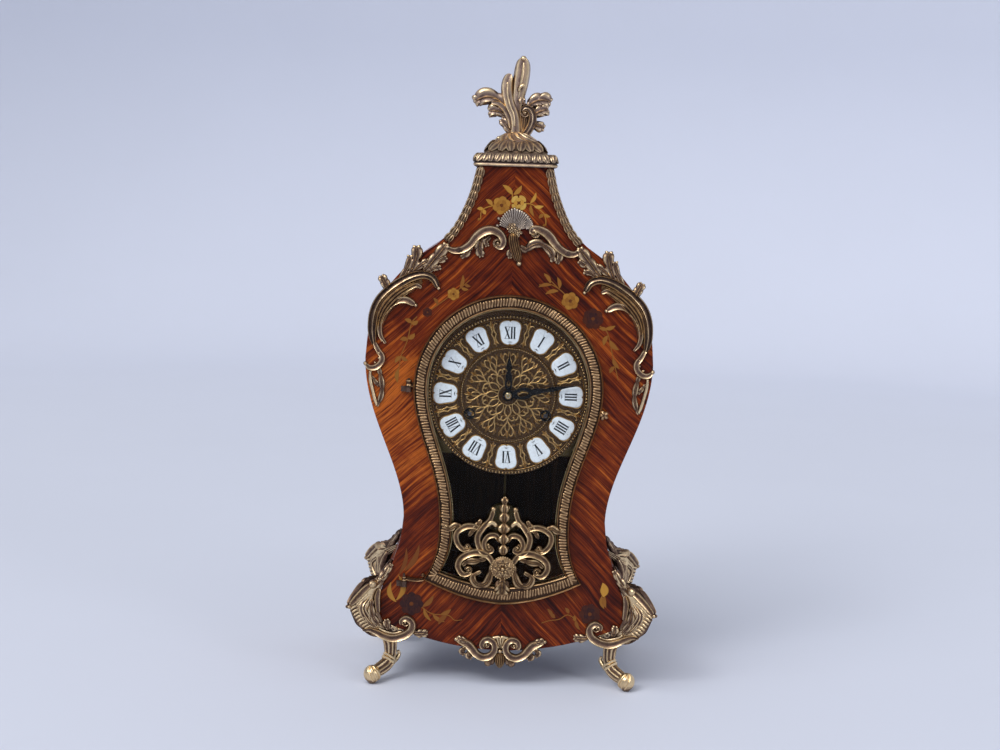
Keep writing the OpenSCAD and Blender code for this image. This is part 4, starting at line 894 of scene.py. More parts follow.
@dataclass(frozen=True)
class Veneer(Finish):
    """Polished striped veneer laid in chevrons about a middle line."""

    fold: Axis = Axis.X
    slope: float = 44.0
    drift: float = 0.018
    half_shift: float = 0.003
    dark: Colour = (0.026, 0.005, 0.004)
    red: Colour = (0.095, 0.013, 0.004)
    brown: Colour = (0.19, 0.031, 0.006)
    orange: Colour = (0.46, 0.11, 0.015)
    glow_share: float = 0.36
    glow_near: float = 0.03
    glow_far: float = 0.1
    label = "veneer"

    def paint(self, graph: Graph) -> Socket:
        """Stripes, fine grain, cloudy figure and a deep polish.

        Args:
            graph: The material's nodes.

        Returns:
            The surface's socket.
        """
        parts = graph.node("ShaderNodeSeparateXYZ", {0: graph.place}).outputs
        flank = graph.math("ABSOLUTE", parts[self.fold.value])
        depth = parts[Axis.Y.value if self.fold is Axis.X else Axis.X.value]
        height = parts[Axis.Z.value]
        c, s = math.cos(math.radians(self.slope)), math.sin(math.radians(self.slope))
        drift = graph.times(graph.noise(graph.vector(flank, depth, height), 9, 2), self.drift)
        across = graph.plus(graph.times(height, c, drift), graph.times(flank, s))
        along = graph.times(height, -s, graph.times(flank, c))
        half = graph.times(graph.math("SIGN", parts[self.fold.value]), self.half_shift)

        def streaks(squeeze: float, scale: float, detail: float, rough: float) -> Socket:
            """Noise drawn out along the grain."""
            at = graph.vector(across, graph.times(along, squeeze), half)
            return graph.noise(at, scale, detail, rough)

        bands, stripes = streaks(0.05, 110, 2, 0.6), streaks(0.035, 340, 3, 0.65)
        grain = streaks(0.02, 1900, 2, 0.7)
        cloud = graph.noise(graph.vector(parts[0], graph.times(along, 0.6), height), 14, 3, 0.6, 0.8)
        tone = graph.times(cloud, 0.5, graph.times(grain, 0.2, graph.times(bands, 0.4, stripes)))
        lifted = graph.plus(graph.span(tone, 0.8, 1.3), -0.1)
        lifted = graph.times(self.glow(graph, parts), self.glow_share, lifted)
        colour = graph.ramp(lifted, ((0.0, self.dark), (0.3, self.red), (0.58, self.brown),
                                     (0.95, self.orange)))
        colour = graph.mix(graph.span(grain, 0.36, 0.5), graph.mix(0.65, colour, self.dark), colour)
        return graph.surface(
            Base_Color=colour, Roughness=graph.span(grain, 0.3, 0.7, 0.46, 0.3), Specular_IOR_Level=0.05,
            Coat_Weight=0.24, Coat_Roughness=0.035, Coat_IOR=1.34,
            Normal=graph.bump(graph.times(stripes, 0.4, grain), 0.35, 0.05),
            Coat_Normal=graph.bump(graph.noise(graph.place, 26, 1), 0.5, 0.35))

    def glow(self, graph: Graph, parts: Sequence[Socket]) -> Socket:
        """How orange the wood is: warmest low beside the dial, darkest at the neck and the base.

        Args:
            graph: The material's nodes.
            parts: The place's three coordinates.

        Returns:
            A value from 0 to 1.
        """
        rise = graph.plus(parts[2], -(PLAN.dial_z - 8) * MM)
        aside = graph.times(graph.plus(parts[0], 0.06), 0.4)
        far = graph.math("POWER", graph.times(rise, rise, graph.times(aside, aside)), 0.5)
        return graph.span(far, self.glow_near, self.glow_far, 1.0, 0.0)


@dataclass(frozen=True)
class InlayWood(Finish):
    """Marquetry woods; each leaf's attribute picks its wood, scorched along its edges."""

    stops: tuple[tuple[float, Colour], ...] = (
        (0.0, (0.02, 0.008, 0.012)), (0.18, (0.06, 0.014, 0.008)), (0.36, (0.17, 0.052, 0.012)),
        (0.55, (0.3, 0.13, 0.022)), (0.75, (0.5, 0.25, 0.04)), (0.95, (0.6, 0.4, 0.09)))
    streak: Colour = (0.14, 0.05, 0.015)
    scorch: Colour = (0.06, 0.018, 0.008)
    label = "inlay"

    def paint(self, graph: Graph) -> Socket:
        """One of several woods with grain, scorched shade and polish.

        Args:
            graph: The material's nodes.

        Returns:
            The surface's socket.
        """
        grain = graph.noise(graph.drawn((1, 1, 0.25)), 1300, 3, 0.7)
        colour = graph.ramp(graph.attribute("tone"), self.stops)
        colour = graph.mix(graph.span(grain, 0.3, 0.75, 0.0, 0.28), colour, self.streak)
        colour = graph.mix(graph.span(graph.attribute("relief"), 0.0, 0.9, 0.7, 0.0), colour, self.scorch)
        return graph.surface(Base_Color=colour, Roughness=0.4, Specular_IOR_Level=0.05, Coat_Weight=0.28,
                             Coat_Roughness=0.04, Coat_IOR=1.34, Normal=graph.bump(grain, 0.3, 0.04))


@dataclass(frozen=True)
class CastBrass(Finish):
    """Antique cast brass or bronze: painted shade over patina in the hollows, worn metal and painted
    highlight on the edges.
    """

    recess_shade_and_patina: Colour = (0.024, 0.013, 0.01)
    dull: Colour = (0.13, 0.078, 0.058)
    gold: Colour = (0.28, 0.182, 0.115)
    rubbed_and_highlight: Colour = (0.82, 0.62, 0.36)
    polish: float = 0.0
    label = "cast_brass"

    def paint(self, graph: Graph) -> Socket:
        """Colour and roughness from the relief, which paints shade and highlight, broken up by the casting's
        skin.

        Args:
            graph: The material's nodes.

        Returns:
            The surface's socket.
        """
        skin = graph.noise(graph.place, 900, 4, 0.65)
        patches = graph.noise(graph.place, 150, 3, 0.6)
        # Painted shade and highlight: the mesh's pointiness darkens concave creases and lightens sharp convex
        # edges.
        point = graph.node("ShaderNodeNewGeometry").outputs["Pointiness"]
        level = graph.plus(graph.attribute("relief"), graph.span(point, 0.44, 0.58, -0.16, 0.2))
        level = graph.sway(graph.sway(level, skin, 0.5), patches, 0.7)
        level = graph.plus(level, self.polish)
        # The ramp runs from painted shade over patina in the hollows to worn metal with painted highlight on
        # the crests.
        colour = graph.ramp(level, ((0.0, self.recess_shade_and_patina), (0.3, self.dull), (0.62, self.gold),
                                    (0.98, self.rubbed_and_highlight)))
        rough = graph.times(skin, 0.14, graph.span(level, 0.0, 1.0, 0.52, 0.22))
        grit = graph.times(graph.cells(1400.0), 0.35, skin)
        return graph.surface(Base_Color=colour, Metallic=graph.span(level, 0.0, 0.4, 0.6, 1.0),
                             Roughness=rough, Normal=graph.bump(grit, 0.4, 0.22))


@dataclass(frozen=True)
class Pressed(Finish):
    """Thin pressed brass with a tooled, darkened ground."""

    ground: Colour = (0.045, 0.024, 0.011)
    middle: Colour = (0.19, 0.1, 0.04)
    gold: Colour = (0.56, 0.35, 0.14)
    label = "pressed_brass"

    def paint(self, graph: Graph) -> Socket:
        """Dark between the raised work, gold on top of it; the raised work fades to the ground's colour at
        its foot as painted shade.

        Args:
            graph: The material's nodes.

        Returns:
            The surface's socket.
        """
        skin = graph.noise(graph.place, 700, 3, 0.6)
        specks = graph.cells(1100.0)
        # Painted shade and highlight: the relief darkens each raised line towards its foot and lights its
        # crest, over the ground's own dark colour.
        level = graph.times(specks, 0.12, graph.sway(graph.attribute("relief"), skin, 0.5))
        colour = graph.ramp(level, ((0.05, self.ground), (0.42, self.middle), (0.8, self.gold)))
        return graph.surface(Base_Color=colour, Metallic=graph.span(level, 0.0, 0.5, 0.75, 1.0),
                             Roughness=graph.span(level, 0.1, 0.9, 0.5, 0.26),
                             Normal=graph.bump(graph.times(specks, 0.6, skin), 0.35, 0.12))


@dataclass(frozen=True)
class Metal(Finish):
    """Turned or drawn metal with fine scratches and faint tarnish."""

    base: Colour = (0.78, 0.56, 0.26)
    tarnish: Colour = (0.4, 0.24, 0.1)
    rough: float = 0.24
    amount: float = 0.5
    label = "metal"

    def paint(self, graph: Graph) -> Socket:
        """Clean metal under patches of tarnish.

        Args:
            graph: The material's nodes.

        Returns:
            The surface's socket.
        """
        patches = graph.noise(graph.place, 70, 4, 0.65)
        lines = graph.noise(graph.drawn((1, 1, 9)), 1100, 2)
        share = graph.times(graph.span(patches, 0.42, 0.72), self.amount)
        return graph.surface(Base_Color=graph.mix(share, self.base, self.tarnish), Metallic=1.0,
                             Roughness=graph.times(patches, 0.22, self.rough - 0.06),
                             Normal=graph.bump(lines, 0.15, 0.04))


@dataclass(frozen=True)
class Lacquer(Finish):
    """Black-finished steel, worn grey in patches."""

    black: Colour = (0.004, 0.004, 0.005)
    worn: Colour = (0.02, 0.017, 0.016)
    label = "lacquer"

    def paint(self, graph: Graph) -> Socket:
        """Deep black, slightly greyed by handling."""
        wear = graph.noise(graph.place, 380, 4, 0.6)
        return graph.surface(Base_Color=graph.mix(graph.span(wear, 0.5, 0.75), self.black, self.worn),
                             Roughness=graph.span(wear, 0.3, 0.7, 0.3, 0.46), Specular_IOR_Level=0.2,
                             Normal=graph.bump(wear, 0.2, 0.05))


@dataclass(frozen=True)
class Enamel(Finish):
    """White enamel with faint grey mottling, greyer towards its edge."""

    white: Colour = (0.88, 0.92, 0.97)
    grey_tint: Colour = (0.5, 0.47, 0.42)
    label = "enamel"

    def paint(self, graph: Graph) -> Socket:
        """Glossy white, greyer where the relief falls off towards the edge.

        Args:
            graph: The material's nodes.

        Returns:
            The surface's socket.
        """
        mottle = graph.noise(graph.place, 420, 4, 0.6)
        colour = graph.mix(graph.span(mottle, 0.48, 0.8, 0.0, 0.45), self.white, self.grey_tint)
        colour = graph.mix(graph.span(graph.attribute("relief"), 0.0, 0.5, 0.7, 0.0), colour, self.grey_tint)
        return graph.surface(Base_Color=colour, Roughness=graph.span(mottle, 0.3, 0.7, 0.1, 0.2),
                             Coat_Weight=0.6, Coat_Roughness=0.05, Normal=graph.bump(mottle, 0.25, 0.06))


@dataclass(frozen=True)
class Ink(Finish):
    """Fired black of the numerals."""

    black: Colour = (0.008, 0.008, 0.012)
    worn: Colour = (0.06, 0.055, 0.06)
    label = "ink"

    def paint(self, graph: Graph) -> Socket:
        """Nearly black, thinner in places.

        Args:
            graph: The material's nodes.

        Returns:
            The surface's socket.
        """
        thin = graph.noise(graph.place, 900, 3)
        colour = graph.mix(graph.span(thin, 0.55, 0.85, 0.0, 0.5), self.black, self.worn)
        return graph.surface(Base_Color=colour, Roughness=graph.span(thin, 0.3, 0.7, 0.22, 0.36))


@dataclass(frozen=True)
class ClearGlass(Finish):
    """Thin window glass that lets light and shadow through."""

    tint: Colour = (0.97, 0.98, 0.975)
    gloss: float = 0.1
    label = "glass"

    def paint(self, graph: Graph) -> Socket:
        """See-through, with reflections that grow towards the edge of view.

        Args:
            graph: The material's nodes.

        Returns:
            The surface's socket.
        """
        smear = graph.span(graph.noise(graph.place, 18, 3, 0.55), 0.3, 0.7, 0.0, 0.05)
        clear = graph.node("ShaderNodeBsdfTransparent", {0: full(self.tint)}).outputs[0]
        shine = graph.node("ShaderNodeBsdfGlossy", {0: (1, 1, 1, 1), "Roughness": smear}).outputs[0]
        share = graph.times(graph.node("ShaderNodeFresnel", {0: 1.45}).outputs[0], self.gloss)
        return graph.node("ShaderNodeMixShader", {0: share, 1: clear, 2: shine}).outputs[0]


@dataclass(frozen=True)
class PlainWood(Finish):
    """Oiled carcass wood seen at the back and inside."""

    dark: Colour = (0.026, 0.01, 0.005)
    middle: Colour = (0.058, 0.023, 0.0095)
    pale: Colour = (0.09, 0.036, 0.014)
    label = "plain_wood"

    def paint(self, graph: Graph) -> Socket:
        """Long grain with rings, pores and stains.

        Args:
            graph: The material's nodes.

        Returns:
            The surface's socket.
        """
        run = graph.drawn((1, 1, 0.08))
        rings = graph.noise(run, 60, 4, 0.6, 0.7)
        pores = graph.noise(run, 900, 2, 0.6)
        tone = graph.sway(rings, graph.noise(graph.place, 9, 3), 0.6)
        colour = graph.ramp(tone, ((0.3, self.dark), (0.52, self.middle), (0.7, self.pale)))
        colour = graph.mix(graph.span(pores, 0.35, 0.5), self.dark, colour)
        return graph.surface(Base_Color=colour, Roughness=graph.span(rings, 0.3, 0.7, 0.62, 0.45),
                             Specular_IOR_Level=0.2, Normal=graph.bump(pores, 0.4, 0.12))


@dataclass(frozen=True)
class Paper(Finish):
    """The backdrop's pale lavender paper."""

    tint: Colour
    label = "paper"

    def paint(self, graph: Graph) -> Socket:
        """Plain, barely mottled."""
        mottle = graph.span(graph.noise(graph.place, 3, 2), 0.3, 0.7, 0.0, 0.25)
        return graph.surface(Base_Color=graph.mix(mottle, self.tint, tuple(0.95 * c for c in self.tint)),
                             Roughness=0.9, Specular_IOR_Level=0.1)


BRONZE = CastBrass()
CAP_BRONZE = CastBrass(dull=(0.17, 0.112, 0.09), gold=(0.33, 0.235, 0.17), polish=-0.16)
PALE_BRONZE = CastBrass(recess_shade_and_patina=(0.045, 0.03, 0.024), dull=(0.24, 0.165, 0.135), gold=(0.46, 0.34, 0.25))
FRET_GOLD = CastBrass(dull=(0.13, 0.075, 0.042), gold=(0.31, 0.195, 0.1), rubbed_and_highlight=(0.75, 0.55, 0.3),
                      polish=-0.06)
SHELL_GREY = CastBrass(dull=(0.17, 0.125, 0.1), gold=(0.34, 0.27, 0.215), rubbed_and_highlight=(0.62, 0.52, 0.42),
                       polish=-0.3)
DOOR_BRONZE = CastBrass(recess_shade_and_patina=(0.04, 0.022, 0.013), dull=(0.09, 0.048, 0.027), gold=(0.165, 0.09, 0.046),
                        rubbed_and_highlight=(0.52, 0.33, 0.17), polish=-0.1)
# Darkened brass: on the movement's front plate its darkness is painted shade for the shadow behind the dial;
# the pendulum's bob and rod wear it as dark tarnished brass.
DARK_BRASS_AND_SHADE = Metal(base=(0.16, 0.115, 0.05), tarnish=(0.06, 0.045, 0.025), rough=0.35)
BRIGHT = Metal(base=(0.9, 0.72, 0.42), rough=0.16, amount=0.25)
BRASS = Metal()
DARK_STEEL = Metal(base=(0.1, 0.1, 0.11), tarnish=(0.04, 0.035, 0.035), rough=0.42)
STEEL = Metal(base=(0.42, 0.43, 0.45), tarnish=(0.2, 0.17, 0.15), rough=0.3)
PRESSED = Pressed()


class Repeater:
    """Repeats a small pattern over host points with a Geometry Nodes tree."""

    tree: bpy.types.NodeTree | None = None

    @classmethod
    def group(cls) -> bpy.types.NodeTree:
        """Makes the shared tree at its first use.

        Returns:
            The tree.
        """
        if cls.tree:
            return cls.tree
        tree = bpy.data.node_groups.new("repeat", "GeometryNodeTree")
        for name, kind in (("Geometry", "Geometry"), ("Pattern", "Object"), ("Size", "Float"),
                           ("Finish", "Material")):
            tree.interface.new_socket(name, in_out="INPUT", socket_type=f"NodeSocket{kind}")
        tree.interface.new_socket("Geometry", in_out="OUTPUT", socket_type="NodeSocketGeometry")
        graph = Graph(tree)
        given = graph.node("NodeGroupInput").outputs
        pattern = graph.node("GeometryNodeObjectInfo", {0: given["Pattern"]}).outputs["Geometry"]
        turn, size = (graph.node("GeometryNodeInputNamedAttribute", {0: name},
                                 data_type="FLOAT_VECTOR").outputs[0] for name in ("turn", "size"))
        scale = graph.node("ShaderNodeVectorMath", {0: size, "Scale": given["Size"]},
                           operation="SCALE").outputs[0]
        rotation = graph.node("FunctionNodeEulerToRotation", {0: turn}).outputs[0]
        placed = graph.node("GeometryNodeInstanceOnPoints",
                            {"Points": given["Geometry"], "Instance": pattern,
                             "Rotation": rotation, "Scale": scale}).outputs[0]
        real = graph.node("GeometryNodeRealizeInstances", {0: placed}).outputs[0]
        dressed = graph.node("GeometryNodeSetMaterial", {0: real, 2: given["Finish"]}).outputs[0]
        graph.node("NodeGroupOutput", {0: dressed})
        cls.tree = tree
        return tree

    @classmethod
    def spread(cls, name: str, pattern: Shell, finish: Finish, spots: Array, turns: Array,
               sizes: Array | None = None) -> Object:
        """Repeats a pattern over spots on the front.

        Args:
            name: The new piece's name.
            pattern: The pattern, built round the origin and facing -Y.
            finish: What it is dressed in.
            spots: Host points, in millimetres.
            turns: Angle about Y of each copy, in radians.
            sizes: Scale (x, y, z) of each copy.

        Returns:
            One plain mesh object.
        """
        source = pattern.piece(f"{name}_pattern", finish)
        angles = np.stack([0 * turns, turns, 0 * turns], 1)
        sizes = np.ones((len(spots), 3)) if sizes is None else sizes
        points = mesh_of(f"{name}_points", spots, "FLOAT_VECTOR", turn=angles, size=sizes)
        host = linked(f"{name}_host", points)
        modifier = host.modifiers.new("repeat", "NODES")
        modifier.node_group = cls.group()
        values = {"Pattern": source, "Size": 1.0, "Finish": finish.material()}
        for item in cls.group().interface.items_tree:
            if item.name in values and item.in_out == "INPUT":
                modifier[item.identifier] = values[item.name]
        bpy.context.view_layer.update()
        seen = host.evaluated_get(bpy.context.evaluated_depsgraph_get())
        made = bpy.data.meshes.new_from_object(seen)
        host.modifiers.remove(modifier)
        for scratch in (host, source):
            bpy.data.objects.remove(scratch)
        return finished(made, name, finish, 50.0)


CREST: Strokes = (
    (SCROLL, ((-62, -12, 1.6, 1), (-58, -13.4, 2, 1), (-52.6, -15.2, 2.8, 1), (-45, -14, 3.2, 1),
        (-38, -9, 3.4, 1.4), (-32.7, -2, 3.7, 1.8), (-26, 2.8, 4, 2), (-18.4, 4, 3.8, 2.2),
        (-11.5, 0.4, 3.3, 2.2), (-8.6, -6, 2.8, 2), (-11, -11, 2.2, 2), (-15.4, -9.8, 1.7, 2))),
    (LEAF, ((-27, -2, 2.4, 1), (-30, -11, 3.4, 1.4), (-28, -20, 1.6, 1.8))),
    (SMALL_LEAF, ((-20, -1.6, 1.6, 1), (-24, -5.6, 2.2, 1.2), (-23, -10.5, 1.6, 1.4))),
    (SMALL_LEAF, ((-36, -9, 1.8, 1), (-41, -17, 2.4, 1.2), (-46, -21, 1.2, 1))),
    (PLUME, ((0, 3, 3.4, 3), (0.2, -3, 4.4, 2.8), (1.6, -10.4, 4.6, 2.4), (3.6, -17, 4.2, 2.2),
        (5.4, -23.6, 3.4, 2.4))),
    (SMALL_LEAF, ((0.4, -9, 1.6, 2), (-2.6, -15, 2.2, 1.6), (-2.4, -20.5, 1.2, 1.6))),
    (SCROLL, ((20, 2.4, 1.8, 2.4), (15.8, 3.6, 2, 2.4), (18.6, 6.8, 2.7, 2.4), (27, 4.2, 3.8, 2),
        (33, -0.6, 4, 1.6), (37.2, -6.2, 3.7, 1.4), (42, -11, 3.4, 1), (49, -14.8, 3.4, 1),
        (55.7, -15, 2.6, 1), (61, -10.6, 1.8, 1))),
    (LEAF, ((6, -9, 1.8, 1.6), (11, -12, 2.8, 1.8), (17, -8, 3.2, 2), (23.5, -6.6, 3.2, 2),
        (29.6, -9.8, 3, 1.6), (34.4, -14.4, 3, 1.4), (36.4, -22, 1.8, 1.6))),
    (SMALL_LEAF, ((38, -9, 1.8, 1), (42, -17, 2.4, 1.2), (40, -24, 1.2, 1.2))),
)
SHOULDER: Strokes = (
    (PLUME, ((-13, 18, 2.2, -0.6), (-11.5, 30, 4.6, -0.4), (-15, 42, 6, -0.4), (-22, 52, 6.8, -0.4),
        (-31, 60, 6.4, -0.4), (-42, 66.5, 4.6, -0.4), (-50, 70, 2.6, -0.4))),
    (BAND, ((-8, 10.5, 1.8, 0.6), (-6.4, 18.8, 3.6, 1), (-5.9, 27, 4.4, 1.2), (-7.4, 39.5, 4.9, 1.4),
        (-12.1, 51, 5, 1.6), (-20.6, 60.5, 5, 1.8), (-30.7, 68.1, 4.8, 2), (-40.9, 73.5, 4.4, 2),
        (-51.1, 75.6, 3.9, 1.8), (-59.4, 72.6, 3.6, 2), (-64.2, 64.5, 2.8, 2.4))),
    (SCROLL, ((-10.9, 33, 1.5, 1.6), (-16.9, 44, 2.2, 2), (-24.9, 54, 2.4, 2.2), (-31, 58, 2.4, 2.2),
        (-37, 62.6, 2.3, 2.2), (-44, 66, 2, 2), (-49.6, 64, 1.5, 2))),
    (SCROLL, ((-18.4, 12.6, 1, 1), (-13.6, 19.4, 1.9, 1.4), (-12.6, 29, 2.1, 1.8), (-15.2, 38.6, 2.2, 2),
        (-21, 46, 2.3, 2), (-28, 51.4, 2.7, 2), (-36.2, 52.4, 3.1, 2), (-43.8, 48.6, 2.4, 2.6))),
    (LEAF, ((-19.5, 59, 2.2, 1), (-17, 66, 3.4, 1.6), (-13, 73.6, 2.2, 2.4))),
    (LEAF, ((-27, 65, 1.2, 1), (-33.4, 77, 2.2, 1.2), (-37.6, 86, 2.6, 1.6), (-38.2, 92.4, 1.8, 2.4))),
    (LEAF, ((-37, 73, 1.6, 1), (-42.4, 86, 3.4, 1.4), (-44.2, 94.6, 3.8, 1.8), (-44, 101, 2.4, 2.8))),
    (LEAF, ((-40.8, 77.6, 1.8, 1), (-48, 84, 2.6, 1.6), (-55, 88.4, 1.7, 2))),
    (SMALL_LEAF, ((-54, 77.6, 1.6, 1), (-60.4, 81.6, 2.3, 1.4), (-66, 82.6, 1.6, 2))),
    (LEAF, ((-50, 78, 2, 1), (-56, 84.6, 3.6, 1.2), (-61.6, 91.6, 4, 1.6), (-66.4, 97.6, 3.6, 2),
        (-70.6, 103, 2.4, 2.8))),
    (SMALL_LEAF, ((-59.6, 87, 1.4, 1), (-65.4, 88.6, 2.3, 1.4), (-71, 92, 1.5, 2))),
    (SCROLL, ((-7.8, 13.5, 1.8, 0.8), (-11.5, 6.5, 2.3, 0.9), (-15, 1.4, 2.6, 1), (-14.9, -3.8, 2.6, 1),
        (-10.3, -8.8, 2.6, 1.2), (-4.6, -9.6, 2.3, 1.4), (-0.8, -6.6, 1.5, 1.8))),
    (STEM, ((-4.8, -12, 1.2, 0.8), (-5, -19.8, 1.7, 0.8), (-7.1, -29.1, 1.7, 0.8), (-9.6, -38.5, 1.7, 0.8),
        (-11.6, -44, 1, 0.8))),
    (LEAF, ((-12.4, -9, 1.5, 1), (-15.2, -21.5, 2, 1.2), (-15.8, -31, 1.9, 1.2), (-14, -39, 1.6, 1),
        (-11.4, -44.5, 0.9, 0.8))),
    (SMALL_LEAF, ((-6, -17, 1, 0.8), (-9.6, -22, 1.5, 1), (-12.6, -26, 0.9, 1))),
)
FRET: Strokes = (
    (SCROLL, ((3, 22, 1.5), (7, 28, 2), (14, 27, 2), (18, 20, 1.8), (15, 13, 1.8), (10, 14, 1.5),
        (12, 18, 1.1))),
    (SCROLL, ((10, 51, 1.8), (13, 42, 1.8), (19, 35, 2.2), (24, 25, 2.2), (20, 13, 2), (13, 10, 1.6))),
    (STEM, ((6, 36, 1.5), (11, 40, 1.8), (16, 36, 1.5))),
    (SCROLL, ((20, 33, 1.5), (28, 36, 2), (36, 35, 2.2), (43, 29, 2), (42, 20, 2), (36, 14, 1.8),
        (28, 15, 1.6))),
    (SMALL_LEAF, ((32, 26, 1), (29, 31, 2), (24, 37, 2), (21, 42, 0.6))),
    (SMALL_LEAF, ((38, 32, 1.8), (43, 36, 2.4), (49, 33, 1.8), (54, 35, 0.6))),
    (SCROLL, ((9, 2, 1.8), (14, 9, 2.2), (25, 12, 2.6), (37, 7, 2.4), (41, -1, 2.2), (36, -9, 2),
        (28, -7, 1.3))),
    (LEAF, ((9, 3, 1.8), (11, -8, 2.6), (15, -17, 2.8), (23, -18, 2.4), (27, -11, 2), (20, -6, 0.8))),
    (SMALL_LEAF, ((14, 7, 1.5), (24, 4, 2.4), (32, 3, 2), (37, -1, 0.7))),
)
APRON: Strokes = (
    (SCROLL, ((40.5, 8.6, 1.4, 1.4), (35.4, 7, 3, 1), (29.8, 4.6, 3.8, 1), (25.6, 0, 3.7, 1),
        (21.6, -4.6, 3.4, 1), (15.4, -7.4, 3.3, 1), (9.3, -5.8, 3.2, 1.2), (5.4, -0.9, 2.9, 1.6),
        (5.4, 5.4, 2.9, 1.8), (9.8, 9.8, 2.9, 1.8), (15.1, 8.6, 2.6, 1.6), (17.2, 4.2, 2.3, 1.4),
        (14.8, 0.7, 1.9, 1.4))),
    (LEAF, ((29, 7, 1.6, 2.4), (35, 9, 2.4, 2.4), (40, 10, 1.4, 2))),
    (SMALL_LEAF, ((31, 2, 1.8, 0.8), (35, -2, 2.2, 0.8), (33, -6, 1.3, 1.2))),
    (SMALL_LEAF, ((27, -1, 1.8, 0.8), (29, -6, 2.2, 0.8), (26, -9, 1.2, 1.2))),
    (LEAF, ((5, -6, 2, 1), (9, -11.4, 2.9, 1), (13.4, -11, 1.3, 1.4))),
    (STEM, ((9, 10.4, 1.5, 1.8), (4, 12, 1.6, 2), (0, 12.4, 1.6, 2.2))),
)
FOOT: Strokes = (
    (SHEET, ((-12, 113, 1.8), (-7, 104, 3.2), (-1, 96, 5), (5, 89, 8), (10, 79, 11.6), (8.6, 70, 11),
        (5, 61, 10), (0, 53, 9), (-8, 47, 6))),
    (SCROLL, ((22, 78.6, 2, 0.8), (17.2, 84.2, 2.7, 1), (10.3, 91, 3, 1.2), (4.4, 95.8, 2.6, 1.4))),
    (STEM, ((19, 76, 0.8, 1), (13, 82, 1, 1.2), (7, 87, 0.9, 1.2))),
    (SCROLL, ((-3, 91, 1.6, 1.4), (-1.4, 84, 2.4, 1.6), (-1.6, 76, 2.2, 1.6), (-2.4, 68, 1.8, 1.4))),
    (LEAF, ((3, 82, 1.4, 1.6), (3.6, 73, 2.4, 2), (1.4, 64, 2.4, 2), (-4, 56, 1.6, 2))),
    (SMALL_LEAF, ((9.4, 78, 1, 1.4), (9, 70, 1.8, 1.6), (5.4, 61.4, 1.6, 1.6), (-1, 54, 1, 1.8))),
    (LEAF, ((-1, 94, 2, 1), (-6, 102, 3, 1.4), (-13.4, 113, 1.4, 1.2))),
    (STEM, ((-5, 98, 1.2, 2), (-9, 105, 1.3, 2), (-11.6, 110.4, 0.8, 2))),
    (SCROLL, ((11.4, 52.6, 1.4, 0.6), (5, 52.4, 2.2, 0.8), (-1.6, 49, 2.9, 1), (-8, 45.4, 3.3, 1.6),
        (-16, 43.6, 3.6, 2), (-25, 45.8, 3.6, 2), (-32, 51, 3.5, 2), (-33.4, 58, 3, 2.2),
        (-28.6, 62.4, 2.6, 2.4), (-23.4, 60.4, 2, 2.4), (-23.6, 56, 1.4, 2.4))),
    (LEAF, ((-33, 49, 2.4, 1.2), (-40, 48.4, 3.2, 1.4), (-47.4, 49, 1.8, 1.6))),
    (SMALL_LEAF, ((-12.4, 50.4, 2, 1.4), (-10.6, 56, 2.8, 1.6), (-10, 61.4, 1.6, 1.6))),
    (STEM, ((-3, 53.6, 1, 2.2), (-9, 49.8, 1.2, 2.4), (-17, 48, 1.1, 2.4), (-24, 50, 0.8, 2.4))),
)
